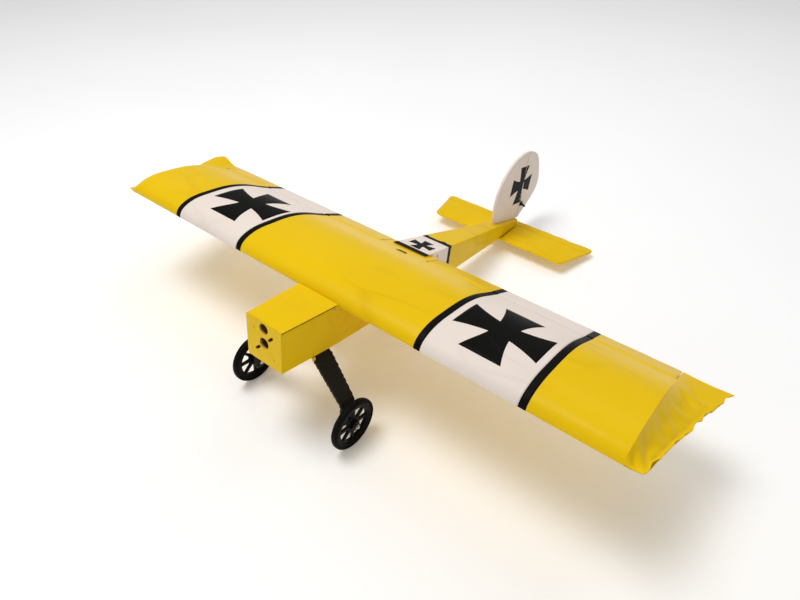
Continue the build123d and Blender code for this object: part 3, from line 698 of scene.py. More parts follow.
def spaced(start, stop, step):
    count = max(1, round(abs(stop - start) / step))
    return [start + (stop - start) * i / count for i in range(count + 1)]


def wander(x, y, seed=0.0):
    """Smooth noise between about -1 and 1."""
    return noise.noise(Vector((x, y, seed)))


def smooth(value, low, high):
    share = max(0.0, min(1.0, (value - low) / (high - low)))
    return share * share * (3 - 2 * share)


# ---- wing lines ------------------------------------------------------------------------------


def along_line(run, distances, points):
    """The two coordinates of a line at a distance along it."""
    return np.array([np.interp(run, distances, points[:, 0]), np.interp(run, distances, points[:, 1])])


class WingPath:
    """The way round the wing's covering from under the leading edge up over the crown.

    Distance 0 is the front of the crown; it runs to the aileron bay's front face.
    """

    def __init__(self):
        rear = AILERON_LINE - AILERON_NOSE - AILERON_AIR
        crown = [(0, 1.0), (22, 21.87), (65, 29.8), (105, 31.7), (155, 25.04)]
        knots = np.array([*crown, (rear, (CHORD - rear) * REAR_SLOPE)])
        steps = np.hypot(*np.diff(knots, axis=0).T)
        size = len(knots)
        system = np.zeros((size, size))
        target = np.zeros((size, 2))
        system[0, 0] = system[-1, -1] = 1
        target[0] = np.array((0.15, 1.0)) / math.hypot(0.15, 1.0)
        target[-1] = np.array((1.0, -REAR_SLOPE)) / math.hypot(1.0, REAR_SLOPE)
        for i in range(1, size - 1):
            before, after = steps[i - 1], steps[i]
            system[i, i - 1 : i + 2] = (after, 2 * (before + after), before)
            target[i] = 3 * (
                after / before * (knots[i] - knots[i - 1]) + before / after * (knots[i + 1] - knots[i])
            )
        slopes = np.linalg.solve(system, target)
        points = []
        for i, step in enumerate(steps):
            for share in np.linspace(0, 1, 40, endpoint=False):
                a, b = share * share * (3 - 2 * share), share * (1 - share) ** 2
                c = -share * share * (1 - share)
                points.append(
                    (1 - a) * knots[i] + a * knots[i + 1] + step * (b * slopes[i] + c * slopes[i + 1])
                )
        points.append(knots[-1])
        self.points = np.array(points)
        runs = np.hypot(*np.diff(self.points, axis=0).T)
        self.distance = np.concatenate([[0], np.cumsum(runs)])
        self.end = self.distance[-1]
        self.rear = rear

    def place(self, run):
        """(aft, up, normal aft, normal up) at a distance round the covering."""
        if run < -1 + WING_FLOOR:
            return -1 + WING_FLOOR - run, WING_FLOOR, 0.0, -1.0
        if run < 0:
            return 0.0, 1 + run, -1.0, 0.0
        if run > self.end:
            over = run - self.end
            steep = math.hypot(1, REAR_SLOPE)
            rise = (CHORD - self.rear) * REAR_SLOPE
            fall = over * REAR_SLOPE / steep
            return self.rear + over / steep, rise - fall, REAR_SLOPE / steep, 1 / steep
        near = 1.5
        u, z = along_line(run, self.distance, self.points)
        before = along_line(max(0.0, run - near), self.distance, self.points)
        after = along_line(min(self.end, run + near), self.distance, self.points)
        du, dz = after - before
        size = math.hypot(du, dz)
        return float(u), float(z), -dz / size, du / size

    def run_at(self, aft):
        """Distance round the covering to a distance behind the leading edge."""
        if aft > self.rear:
            return self.end + (aft - self.rear) * math.hypot(1, REAR_SLOPE)
        return float(np.interp(aft, self.points[:, 0], self.distance))


PATH = WingPath()


def slack(x, aft):
    """How far the wing film stands off its smooth line, in millimetres."""
    height = bpy.context.scene.aeroplane_film.ripple / MM
    broad = wander(x / 42, aft / 60, 1.7) + 0.5 * wander(x / 17, aft / 30, 4.2)
    near_tip = smooth(abs(x), 380, 480)
    return height * (0.6 + 0.5 * broad + near_tip * 1.2 * wander(x / 15, aft / 26, 8.8))


def over_wing(x, run, lift):
    """A point lifted off the wing's covering, x from the middle and run round the section."""
    aft, up, normal_aft, normal_up = PATH.place(run)
    rise = lift / MM + (slack(x, aft) if run > 3 else 0.0) * smooth(run, 0, 12)
    return WING.at(x, aft + normal_aft * rise, up + normal_up * rise)


# ---- pieces ----------------------------------------------------------------------------------


def build_wing_skin(side, side_name):
    """The covering of one half wing and its pinched tip, closed under and at the aileron bay."""
    top = spaced(-1.9, 12.0, 1.0)[:-1] + spaced(12.0, PATH.end, 3.0)
    ends = [("top", run) for run in top]
    ends += [("rear", share) for share in (0.2, 0.4, 0.6, 0.8, 1.0)]
    ends += [("floor", share) for share in spaced(0.0, 1.0, 0.02)]
    rows = spaced(0.05, AILERON_INNER - 0.05, 3.0) + spaced(AILERON_INNER + 0.05, PANEL_END - 0.1, 3.0)
    rows.append(PANEL_END + 0.1)
    rows = [("span", x) for x in rows] + [("tip", share) for share in spaced(0.035, 1.0, 0.035)]

    def section(kind, value, floor, cut):
        last = PATH.rear if cut else CHORD
        height = (CHORD - PATH.rear) * REAR_SLOPE
        if kind == "top":
            aft, up, normal_aft, normal_up = PATH.place(value)
            return aft, max(up, floor), normal_aft, normal_up
        if kind == "rear":
            if cut:
                return last, height + (floor - height) * value, 0.0, 0.0
            return PATH.rear + (CHORD - PATH.rear) * value, height * (1 - value), 0.0, 0.0
        return last * (1 - value), floor, 0.0, 0.0

    def place(row, end):
        span_kind, along = row
        kind, value = end
        if span_kind == "span":
            cut = AILERON_INNER < along < PANEL_END
            aft, up, normal_aft, normal_up = section(kind, value, SHEET_TOP, cut)
            rise = slack(side * along, aft) * smooth(value, 0, 12) if kind == "top" else 0.0
            return WING.at(side * along, aft + normal_aft * rise, up + normal_up * rise)
        aft, up, normal_aft, normal_up = section(kind, value, WING_FLOOR, False)
        start = PANEL_END + 0.1
        edge = TIP_FRONT + (TIP_REAR - TIP_FRONT) * aft / CHORD
        flap = smooth(along, 0.88, 0.90)
        x = start + (edge - start) * along
        x += 5.0 * wander(aft / 19, 2.0 * side, 3.0) * smooth(along, 0.75, 1.0)
        x -= 3.0 * math.sin(math.pi * min(1.0, aft / CHORD)) * smooth(along, 0.7, 1.0)
        drop = min(1.0, along / 0.88)
        full = 0.85 - 0.35 * smooth(aft, 60, 150) if side < 0 else 0.0
        keep = (1 - drop) ** 1.12 - 0.07 * math.sin(math.pi * drop)
        keep = (1 - full) * keep + full * (1 - drop * drop)
        keep = max(0.0, keep) * (1 - flap)
        if side < 0:
            x -= 9.0 * smooth(aft, 222, 250) ** 2 * smooth(along, 0.5, 1.0)
        else:
            scallop = abs(math.sin(math.pi * aft / 31.0)) * smooth(aft, 120, 160)
            x -= 4.0 * scallop * smooth(along, 0.8, 1.0)
        body_part = (up - WING_FLOOR) * keep
        facet = math.sin(math.pi * drop) * min(1.0, (up - WING_FLOOR) / 12.0)
        phase = aft / 34.0 + 0.5 * along + 0.9 * wander(aft / 55, 0.0, 2.0 + side)
        pleat = abs(phase % 1.0 - 0.5) * 2
        depth = 1.2 + 1.6 * abs(wander(aft / 40, 4.0, 7.0 + side)) + 1.6 * smooth(-aft, -110, -40)
        body_part += (1.7 if side > 0 else 1.0) * depth * facet * (pleat - 0.6)
        body_part += 2.6 * facet * wander(aft / 15, 2.5 * along, 5.0 * side)
        body_part -= 2.0 * facet * abs(wander(aft / 26 + 7, 0.4 * along, 9.0 * side))
        thickness = 1.0 if kind != "floor" else 0.0
        if kind == "top" and value < 1:
            thickness = max(0.0, (up - WING_FLOOR) / 4.0)
        if kind == "rear" and value > 0.99:
            thickness = 0.5
        base = WING_FLOOR + thickness * smooth(along, 0.2, 0.8)
        wave = 1.3 * wander(aft / 19, 1.0, 6.0 * side) * smooth(along, 0.6, 1.0)
        lift = 2.2 * smooth(along, 0.3, 1.0)
        curl = 0.0
        if side < 0:
            curl = 11.0 * smooth(aft, 120, 245) * smooth(along, 0.25, 1.0)
        return WING.at(side * x, aft, base + max(0.0, body_part) + wave + lift + curl)

    mesh = close_loft(patch(rows, ends, place))
    piece = add_piece(
        f"wing_skin_{side_name}", mesh, "Yellow Wing Film", "airframe"
    )
    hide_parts(f"wing_upper_skin_{side_name}", f"wing_tip_{side_name}")
    cutter = bmesh.new()
    bmesh.ops.create_cube(cutter, size=1.0)
    upright = [edge for edge in cutter.edges if abs((edge.verts[0].co - edge.verts[1].co).z) > 0.5]
    for vert in cutter.verts:
        vert.co = Vector((vert.co.x * SLOT_SIZE[0], vert.co.y * SLOT_SIZE[1], vert.co.z * 18))
    bmesh.ops.bevel(
        cutter, geom=upright, offset=SLOT_CORNER, segments=6, profile=0.5, affect="EDGES", material=-1
    )
    for vert in cutter.verts:
        vert.co = WING.at(SLOT.x + vert.co.x, SLOT.y + vert.co.y, SLOT.z + vert.co.z)
    bmesh.ops.recalc_face_normals(cutter, faces=cutter.faces)
    # The slot's walls get a liner of near-black brown: painted shade inside the slot.
    well = cutter.copy()
    cut_away(piece, cutter)
    lid = [face for face in well.faces if face.normal.dot(WING.up) > 0.9]
    bmesh.ops.delete(well, geom=lid, context="FACES_ONLY")
    slice_at(well, WING.at(0, 0, SLOT.z - 0.8), WING.up, clear_outer=True)
    slice_at(well, Vector((side * 0.00005, 0, 0)), Vector((-side, 0, 0)), clear_outer=True)
    bmesh.ops.reverse_faces(well, faces=well.faces)
    liner = add_piece(f"cable_slot_painted_shade_{side_name}", well, "Painted Shade Hollow", "airframe")
    thicken(liner, 0.0004)
    return piece


def join(mesh, part):
    """Adds one bmesh to another, and frees it."""
    data = as_data("part", part)
    mesh.from_mesh(data)
    bpy.data.meshes.remove(data)


def cross_patches(reach, waist, half_end, place):
    """A cross with flared arms as one sheet; place takes (sideways, along) in millimetres."""
    mesh = bmesh.new()
    for turn in range(4):
        cos_turn, sin_turn = (1, 0, -1, 0)[turn], (0, 1, 0, -1)[turn]
        outs = spaced(waist, reach, reach / 14)
        shares = spaced(-1.0, 1.0, 0.125)

        def arm(out, share):
            flare = (out - waist) / (reach - waist)
            half = waist + (half_end - waist) * (0.55 * flare + 0.45 * flare * flare)
            across = half * share
            return Vector((out * cos_turn - across * sin_turn, out * sin_turn + across * cos_turn, 0))

        join(mesh, patch(outs, shares, arm))
    across = spaced(-waist, waist, waist / 8)
    join(mesh, patch(across, across, lambda a, b: Vector((a, b, 0))))
    bmesh.ops.remove_doubles(mesh, verts=mesh.verts, dist=0.02)
    for vert in mesh.verts:
        vert.co = place(vert.co.x, vert.co.y)
    bmesh.ops.recalc_face_normals(mesh, faces=mesh.faces)
    return mesh


def face_towards(mesh, direction):
    """Turns an open sheet so that its faces look along direction."""
    total = Vector((0, 0, 0))
    for face in mesh.faces:
        total += face.normal * face.calc_area()
    if total.dot(direction) < 0:
        bmesh.ops.reverse_faces(mesh, faces=mesh.faces)
    return mesh


def lay_film(name, mesh, finish, body, outwards, thickness):
    """An open sheet of film, turned outwards and given its thickness."""
    mesh.normal_update()
    face_towards(mesh, outwards)
    return thicken(add_piece(name, mesh, finish, body), thickness)


def add_marking(name, mesh, finish, body, outwards):
    """A film marking over the covering."""
    thickness = bpy.context.scene.aeroplane_film.thickness
    return lay_film(name, mesh, finish, body, outwards, thickness)


def build_wing_markings(side, side_name):
    marks = bpy.context.scene.aeroplane_markings
    lift = bpy.context.scene.aeroplane_film.lift
    inner, outer = marks.band_inner / MM, marks.band_outer / MM
    stripe = marks.stripe / MM
    parts = [
        ("stripe_inner", inner, inner + stripe, "Black Film"),
        ("band", inner + stripe, outer - stripe, "White Film"),
        ("stripe_outer", outer - stripe, outer, "Black Film"),
    ]
    runs = spaced(-12.0, -4.02, 2.0) + spaced(-3.98, -0.02, 1.0) + spaced(0.4, PATH.end - 0.1, 2.5)

    def on_aileron(x, run):
        return over_aileron(x, run, 1.7 * lift / MM)

    for part, start, stop, finish in parts:
        xs = spaced(side * start, side * stop, 3.0)
        mesh = patch(xs, runs, lambda x, run: over_wing(x, run, lift))
        add_marking(f"wing_{part}_{side_name}", mesh, finish, "airframe", WING.up)
        mesh = patch(xs, spaced(-3.0, 0.0, 0.75)[:-1] + spaced(0.0, 37.2, 2.5), on_aileron)
        add_marking(f"aileron_{part}_{side_name}", mesh, finish, f"{side_name}_aileron", WING.up)
    reach = marks.cross_reach / MM
    middle = (marks.port_cross if side > 0 else marks.starboard_cross) / MM
    aft = (marks.port_aft if side > 0 else marks.starboard_aft) / MM

    def on_band(across, along):
        return over_wing(side * middle + across, PATH.run_at(aft + along), 2.2 * lift)

    mesh = cross_patches(reach, reach * 0.25, reach * 0.50, on_band)
    add_marking(f"wing_cross_{side_name}", mesh, "Black Film", "airframe", WING.up)


def half_width(y):
    if y < 0:
        return CABIN_HALF - (CABIN_HALF - NOSE_HALF) * y / NOSE
    if y < TAPER_START:
        return CABIN_HALF
    return CABIN_HALF + (TAIL_HALF - CABIN_HALF) * (y - TAPER_START) / (TAIL_END - TAPER_START)


def belly(y):
    if y < BELLY_BREAK:
        return -NOSE_DEPTH - (BELLY_DEPTH - NOSE_DEPTH) * (y - NOSE) / (BELLY_BREAK - NOSE)
    return -BELLY_DEPTH - 25.0 * min(1.0, (y - BELLY_BREAK) / (545 - BELLY_BREAK))


def saddle(y):
    return -3.1 / math.cos(INCIDENCE) - y * math.tan(INCIDENCE)


def deck(y):
    """Height of the aft deck."""
    return -10.0 - (y - DECK_FRONT) * DECK_SLOPE


WING_TAIL = 249.5
FILM_LIFT = 0.22
CORNER = 1.1


def roof(y):
    """Top of the fuselage covering: the nose deck, the wing saddle or the aft deck."""
    if y < -0.5:
        return FILM_LIFT
    if y < WING_TAIL - 0.05:
        return saddle(y) - 0.25
    return deck(y) + FILM_LIFT


def build_fuselage_covering():
    """One tube of film round the fuselage boards, with softly rounded corners."""
    stations = spaced(NOSE + 0.02, -0.6, 5.0) + [-0.4] + spaced(4.0, WING_TAIL - 0.1, 8.0)
    stations += [WING_TAIL] + spaced(WING_TAIL + 4, TAIL_END + 0.15, 5.0)
    faces = []
    for start, stop in (((-1, 1), (1, 1)), ((1, 1), (1, -1)), ((1, -1), (-1, -1)), ((-1, -1), (-1, 1))):
        flat = 14
        faces += [(start, stop, i / flat, None) for i in range(flat)]
        faces += [(start, stop, None, i / 4) for i in range(4)]
    faces.append(faces[0])

    def place(y, spot):
        start, stop, along, bend = spot
        half = half_width(y) + FILM_LIFT
        high, low = roof(y), belly(y) - FILM_LIFT
        ends = []
        for corner in (start, stop):
            ends.append(Vector((corner[0] * half, high if corner[1] > 0 else low)))
        run = (ends[1] - ends[0]).normalized()
        out = Vector((-run.y, run.x))
        begin, end = ends[0] + run * CORNER, ends[1] - run * CORNER
        if along is not None:
            point = begin.lerp(end, along)
            free = smooth(min(along, 1 - along), 0.0, 0.12)
            size = bpy.context.scene.aeroplane_film.ripple / MM
            seed = 3.0 * start[0] + 7.0 * start[1]
            ripple = 0.7 + 0.6 * wander(y / 30, along * 3.0, seed) + 0.7 * wander(
                y / 12 + along * 2, along * 5.0, seed + 2
            )
            bare = 1 - smooth(y, WING_TAIL - 6, WING_TAIL - 1) * smooth(-y, -322, -316)
            point = point + out * max(0.0, ripple) * size * free * bare
        else:
            centre = end - out * CORNER
            turn = bend * math.pi / 2
            point = centre + out * CORNER * math.cos(turn) + run * CORNER * math.sin(turn)
        return BODY.at(point.x, y, point.y)

    mesh = patch(stations, faces, place)
    bmesh.ops.remove_doubles(mesh, verts=mesh.verts, dist=1e-6)
    rear = BODY.at(0, TAIL_END, 0)
    rim = [
        edge for edge in mesh.edges if edge.is_boundary and (edge.verts[0].co - rear).dot(BODY.aft) > -0.001
    ]
    bmesh.ops.holes_fill(mesh, edges=rim, sides=0)
    mesh.normal_update()
    bmesh.ops.recalc_face_normals(mesh, faces=mesh.faces)
    sample = max(mesh.faces, key=lambda face: face.calc_center_median().x)
    if sample.normal.x < 0:
        bmesh.ops.reverse_faces(mesh, faces=mesh.faces)
    piece = add_piece("fuselage_film", mesh, "Yellow Film", "airframe", limit=40)
    thicken(piece, 0.00015)
    drill_band_hole(piece)
    return piece


def turned_by(angle, out, off):
    """A point of the nose face, given out and off along an arm at the angle."""
    cosine, sine = math.cos(angle), math.sin(angle)
    return out * cosine - off * sine, out * sine + off * cosine


def build_film_details():
    """Film laps and slits: the deck's port edge, the leg's tab, the tail root and the nose face. The dark
    strips at the deck's edge and at the tail root, and the pinholes in the nose face, are painted shade.
    """
    for side, side_name in ((1, "port"), (-1, "starboard")):

        # A dark strip along the deck film's ragged edge: painted shadow under the lap.
        def lap(y, share):
            low = -0.5 - share * (1.1 + 0.8 * abs(wander(y / 6, 2.0 * side, 1.0)))
            out = half_width(y) + FILM_LIFT + 0.12 + 0.4 * share * abs(wander(y / 4, 5.0, side))
            return BODY.at(side * out, y, low)

        mesh = patch(spaced(NOSE + 1.0, -4.0, 1.0), spaced(0.0, 1.0, 0.34), lap)
        add_strip(
            f"deck_edge_painted_shadow_{side_name}", mesh, "Painted Shade Brown", "airframe", Vector((side, 0, 0)),
        )

        # A dark strip beside the tailplane's root: painted shade in the gap between fuselage and tailplane.
        def root(y, share):
            out = half_width(y) + 0.5 + share * (1.2 + 0.7 * abs(wander(y / 5, 1.0, side)))
            return BODY.at(side * out, y, -100.92)

        mesh = patch(spaced(552.5, 626.0, 1.5), spaced(0.0, 1.0, 0.5), root)
        add_strip(f"tail_root_painted_shade_{side_name}", mesh, "Painted Shade Brown", "airframe", BODY.up)

        def tab(along, down):
            curl = 1.6 * down * down + 0.3 * wander(along * 3, down * 2, 1.0)
            return BODY.at(side * (41.3 + 0.4 * down + curl), -54.0 + 6.5 * along, -71.5 - 5.0 * down)

        mesh = patch(spaced(0.0, 1.0, 0.2), spaced(0.0, 1.0, 0.2), tab)
        piece = add_strip(
            f"film_tab_{side_name}", mesh, "Yellow Film", "airframe", Vector((side, 0, 0))
        )
        piece.modifiers["thickness"].thickness = 0.0004
    centre = BODY.local(MOUNTS["motor_shaft_hole"]["pos_m"])
    for turn in (1, -1):
        angle = math.radians(135) if turn > 0 else math.radians(-45)
        loop = []
        for share in spaced(0.0, 1.0, 0.05):
            around = 2 * math.pi * share
            end = MOTOR_SLOT_CIRCLE + MOTOR_SLOT_STRAIGHT * np.sign(math.cos(around))
            loop.append((end + MOTOR_SLOT_END * math.cos(around), MOTOR_SLOT_END * math.sin(around)))
        loop[-1] = loop[0]
        laps = spaced(0.0, 1.0, 0.25)

        def ridge(index, share):
            out, off = loop[round(index)]
            middle = MOTOR_SLOT_CIRCLE + MOTOR_SLOT_STRAIGHT * np.sign(out - MOTOR_SLOT_CIRCLE)
            run = Vector((out - middle, off)).normalized() * 0.45 * (share * 2 - 1)
            rise = 0.32 * math.sin(math.pi * share)
            out, off = out + run.x, off + run.y
            x, z = turned_by(angle, out, off)
            return BODY.at(x, NOSE - 0.02 - rise, centre.z + z)

        mesh = patch([float(i) for i in range(len(loop))], laps, ridge)
        name = "slot_emboss_upper" if turn > 0 else "slot_emboss_lower"
        add_strip(name, mesh, "Yellow Film", "airframe", -BODY.aft)
        # A dark disc at the end of each slot: painted shade inside a pinhole in the film.
        mesh = bmesh.new()
        bmesh.ops.create_circle(mesh, cap_ends=True, segments=16, radius=1.0)
        for vert in mesh.verts:
            spot = 28.4 + vert.co.x * 1.1
            off = vert.co.y * 0.7
            x, z = turned_by(angle, spot, off)
            vert.co = BODY.at(x, NOSE - 0.05, centre.z + z)
        name = "film_pinhole_shade_upper" if turn > 0 else "film_pinhole_shade_lower"
        add_strip(name, mesh, "Painted Shade Brown", "airframe", -BODY.aft)


def build_fuselage_markings():
    """White band with its stripes round the deck and sides, and the deck's cross."""
    marks = bpy.context.scene.aeroplane_markings
    film = bpy.context.scene.aeroplane_film
    end, stripe = marks.deck_band_end / MM, marks.deck_stripe / MM
    lift = film.lift / MM + FILM_LIFT
    drop = 34.0

    def wrap(y, run):
        """Run 0 is the deck's middle; past the deck's edge it goes down the side."""
        half = half_width(y) + lift
        top = deck(y) + lift
        sign = 1 if run > 0 else -1
        flat = half - 1.2
        if abs(run) <= flat:
            return BODY.at(run, y, top)
        bend = min(math.pi / 2, (abs(run) - flat) / 1.2)
        down = max(0.0, abs(run) - flat - 1.2 * math.pi / 2)
        return BODY.at(sign * (flat + 1.2 * math.sin(bend)), y, top - 1.2 + 1.2 * math.cos(bend) - down)

    def runs_for(y, low):
        half = half_width(y) + lift
        reach = half + (deck(y) - low)
        return reach

    def band(start, stop, low, ragged):
        ys = spaced(start, stop, 1.5)
        shares = spaced(-1.0, 1.0, 0.012)

        def place(y, share):
            share_y = y
            if ragged:
                edge = (y - start) / (stop - start)
                share_y = y + ragged * wander(share * 9, edge * 0.6, 2.0)
                share_y += 0.45 * (y - start) * (1 - smooth(abs(share), 0.25, 0.45))
            bottom = max(low(share_y), belly(share_y) + 1.0)
            return wrap(share_y, share * runs_for(share_y, bottom))

        return patch(ys, shares, place)

    def bottom_of_side(y):
        return belly(y) + 1.2

    for name, start, stop, finish in (
        ("deck_front_stripe", DECK_FRONT - 0.2, DECK_FRONT + 1.3 * stripe, "Black Film"),
        ("deck_front_band", DECK_FRONT + 1.3 * stripe, WING_TAIL + 0.3, "White Film"),
    ):
        ys = spaced(start, stop, 1.5)
        shares = spaced(-1.0, 1.0, 0.04)
        mesh = patch(
            ys, shares, lambda y, share: BODY.at(share * (half_width(y) - 0.3), y, deck(y) + film.lift / MM)
        )
        add_marking(name, mesh, finish, "airframe", BODY.up)
    mesh = band(WING_TAIL + 0.3, end - stripe, bottom_of_side, 0.0)
    piece = add_marking("fuselage_band", mesh, "White Film", "airframe", BODY.up)
    drill_band_hole(piece)
    mesh = band(end - stripe, end, bottom_of_side, 1.0)
    add_marking("fuselage_rear_stripe", mesh, "Black Film", "airframe", BODY.up)
    reach = marks.deck_cross_reach / MM
    middle = 266.0

    def on_deck(across, along):
        y = middle + along
        return BODY.at(across, y, deck(y) + lift + film.lift / MM)

    mesh = cross_patches(reach, reach * 0.25, reach * 0.46, on_deck)
    add_marking("deck_cross", mesh, "Black Film", "airframe", BODY.up)


def build_tail():
    """Tailplane, elevator, fin and rudder with soft film edges."""
    across = [(Vector((x * MM, 0, 0)), Vector((1, 0, 0))) for x in spaced(-186, 186, 6.0)]

    def tip_corner(edge):
        ends = [BODY.local(vert.co) for vert in edge.verts]
        upright = abs(ends[0].z - ends[1].z) > 4 and abs(ends[0].x - ends[1].x) < 0.2
        return upright and abs(ends[0].x) > 155 and abs(ends[0].y - TAIL_HINGE) > 12

    def wavy(front, rear, amount):
        def move(point):
            spot = BODY.local(point)
            near_front = smooth(front + 9 - spot.y, 0, 9) if front else 0.0
            near_rear = smooth(spot.y - rear + 9, 0, 9) if rear else 0.0
            wave = wander(spot.x / 21, 0.0, 4.0 + near_rear) + 0.5 * wander(spot.x / 9, 1.0, 2.0)
            spot.y += amount * wave * (near_front - near_rear)
            spot.z += 0.8 * amount * wander(spot.x / 30, 3.0, 1.0) * (near_front + near_rear)
            return BODY.at(*spot)

        return move

    def ahead(point):
        return BODY.local(point).y > TAIL_HINGE - 4.5

    def behind(point):
        return BODY.local(point).y < TAIL_HINGE + 6.0

    softened(
        "stabiliser",
        "Yellow Film",
        corners=tip_corner,
        crisp=ahead,
        cuts=across,
        move=wavy(551.5, None, 1.4),
    )
    softened(
        "elevator",
        "Yellow Film",
        corners=tip_corner,
        crisp=behind,
        cuts=across,
        move=wavy(None, 661.0, 1.5),
    )
    softened("fin", "White Film", radius=2.1, segments=4, crisp=ahead)
    softened("rudder", "White Film", radius=2.1, segments=4, crisp=behind)
    for z, up in ((-103.6, 1), (-103.6, -1)):
        xs = spaced(-186, 186, 4.0)

        def over_elevator(x, run):
            aft, rise = nose_path(run, BOARD_HALF, 0.12)
            return BODY.at(x, TAIL_HINGE + aft, z + up * rise)

        mesh = patch(xs, spaced(-1.9, 8.0, 0.7), over_elevator)
        name = "elevator_hinge_film_top" if up > 0 else "elevator_hinge_film_under"
        add_strip(name, mesh, "Yellow Film", "elevator", BODY.up * up)
    for side, side_name in ((1, "port"), (-1, "starboard")):

        def over_rudder(height, run):
            aft, rise = nose_path(run, BOARD_HALF, 0.10)
            return BODY.at(side * rise, TAIL_HINGE + aft, height)

        mesh = patch(spaced(-80.0, 70.0, 4.0), spaced(-1.7, 8.0, 0.7), over_rudder)
        add_strip(
            f"rudder_hinge_film_{side_name}", mesh, "White Film", "rudder", Vector((side, 0, 0)),
        )


def nose_path(run, radius, lift, slope=0.0):
    """(aft, up) from the hinge axis over a round nose at a run from its top, lifted off it."""
    reach = radius + lift
    if run < 0:
        return reach * math.sin(run / radius), reach * math.cos(run / radius)
    return run, reach - run * slope


def over_aileron(x, run, lift):
    """A point lifted off an aileron's top, x from the middle and run back from its hinge line."""
    aft, rise = nose_path(run, AILERON_NOSE, lift, REAR_SLOPE)
    return WING.at(x, AILERON_LINE + aft, AILERON_AXIS_UP + rise)


def add_strip(name, mesh, finish, body, outwards):
    """A strip of film over a hinge nose or an edge."""
    return lay_film(name, mesh, finish, body, outwards, STRIP_THICKNESS)


def build_fin_markings():
    """Crosses on both faces of the fin and rudder, cut at the hinge line."""
    marks = bpy.context.scene.aeroplane_markings
    film = bpy.context.scene.aeroplane_film
    reach = marks.fin_cross_reach / MM
    tilt = math.radians(4.5)
    middle = (629.0, -1.0)
    for side, side_name in ((1, "port"), (-1, "starboard")):
        for keep, body, part in ((-1, "airframe", "fin"), (1, "rudder", "rudder")):

            def on_face(across, along):
                y = middle[0] + across * math.cos(tilt) + along * math.sin(tilt)
                z = middle[1] + along * math.cos(tilt) - across * math.sin(tilt)
                out = BOARD_HALF + 1.6 * film.lift / MM
                if keep > 0 and y < TAIL_HINGE:
                    out = math.sqrt(max(0.2, out * out - (TAIL_HINGE - y) ** 2))
                return BODY.at(side * out, y, z)

            mesh = cross_patches(reach, reach * 0.24, reach * 0.46, on_face)
            line = TAIL_HINGE - 3.3 if keep < 0 else TAIL_HINGE - 1.6
            slice_at(mesh, BODY.at(0, line, 0), BODY.aft, clear_outer=keep < 0, clear_inner=keep > 0)
            add_marking(f"{part}_cross_{side_name}", mesh, "Black Film", body, Vector((side, 0, 0)))


def build_ailerons():
    for side, side_name in ((1, "port"), (-1, "starboard")):

        def over_nose(x, run):
            return over_aileron(x, run, 0.10)

        runs = spaced(-6.0, 0.0, 0.8)[:-1] + spaced(0.0, 11.0, 1.5)
        mesh = patch(spaced(side * 51.9, side * 478.9, 6.0), runs, over_nose)
        body = f"{side_name}_aileron"
        add_strip(f"aileron_hinge_film_{side_name}", mesh, "Yellow Wing Film", body, WING.up)
        cuts = [(Vector((side * x * MM, 0, 0)), Vector((1, 0, 0))) for x in spaced(58, 474, 8.0)]

        def move(point):
            spot = WING.local(point)
            near = smooth(spot.y, CHORD - 12, CHORD)
            spot.z += 0.45 * near * wander(spot.x / 33, 0.0, 3.0)
            return WING.at(*spot)

        softened(f"aileron_{side_name}", "Yellow Wing Film", radius=0.5, segments=2, cuts=cuts, move=move)


LEG_LINE = ((40.5, -81.6), (94.0, -132.7), (96.7, -135.7), (98.1, -138.8), (98.5, -142.5), (98.5, -160.0))


def build_undercarriage():
    """The strap and the overlapping turns of tape round its legs."""
    softened("undercarriage_strap", "Black Tape", radius=1.0, segments=3)
    line = np.array(LEG_LINE)
    runs = np.concatenate([[0], np.cumsum(np.hypot(*np.diff(line, axis=0).T))])
    ring = [(share, 1) for share in spaced(-1.0, 1.0, 0.125)]
    ring += [(1, share) for share in (0.6, 0.2, -0.2, -0.6)]
    ring += [(-share, -1) for share in spaced(-1.0, 1.0, 0.125)]
    ring += [(-1, share) for share in (-0.6, -0.2, 0.2, 0.6)]
    ring.append(ring[0])
    for side, side_name in ((1, "port"), (-1, "starboard")):

        def place(run, spot):
            across, over = spot
            out, up = along_line(run, runs, line)
            ahead, climb = along_line(run + 2, runs, line) - along_line(run - 2, runs, line)
            fall = -climb
            size = math.hypot(ahead, fall)
            share = (-81.3 - up) / (-81.3 + 169.0)
            front = -47.5 + (-48.5 + 47.5) * share
            rear = -13.5 + (-25.5 + 13.5) * share
            middle, half = (front + rear) / 2, (rear - front) / 2
            turn = (run + (0.30 * half * across if over > 0 else -0.30 * half * across)) / 9.5
            lap = (turn + 0.25 * wander(run / 21, 3.0 * side, 5.0)) % 1.0
            swell = 0.35 + 0.75 * lap + 0.35 * wander(run / 5, across * 2.0, 4.0 + over)
            thick = (1.5 + max(0.1, swell)) * over
            wide = middle + (half + max(0.1, swell)) * across
            return BODY.at(side * (out + fall / size * thick), wide, up + ahead / size * thick)

        mesh = close_loft(patch(spaced(0.0, float(runs[-1]), 0.8), ring, place))
        add_piece(f"leg_tape_{side_name}", mesh, "Black Tape", "airframe", 25)


TYRE_HALF = ((1.2, 43.95), (3.2, 43.6), (4.9, 42.6), (5.8, 41.2), (6.0, 39.6), (5.6, 38.2), (4.6, 37.5))


def spun_ring(centre, outline, steps):
    """A ring about a wheel's axle, of an outline given as (out along the axle, radius)."""
    mesh = bmesh.new()
    verts = [
        mesh.verts.new(BODY.at(centre.x + out, centre.y, centre.z + radius)) for out, radius in outline
    ]
    edges = [mesh.edges.new(pair) for pair in zip(verts, verts[1:] + verts[:1])]
    bmesh.ops.spin(
        mesh, geom=[*verts, *edges], cent=BODY.at(*centre), axis=(1, 0, 0), angle=2 * math.pi,
        steps=steps, use_merge=True,
    )
    bmesh.ops.recalc_face_normals(mesh, faces=mesh.faces)
    return mesh


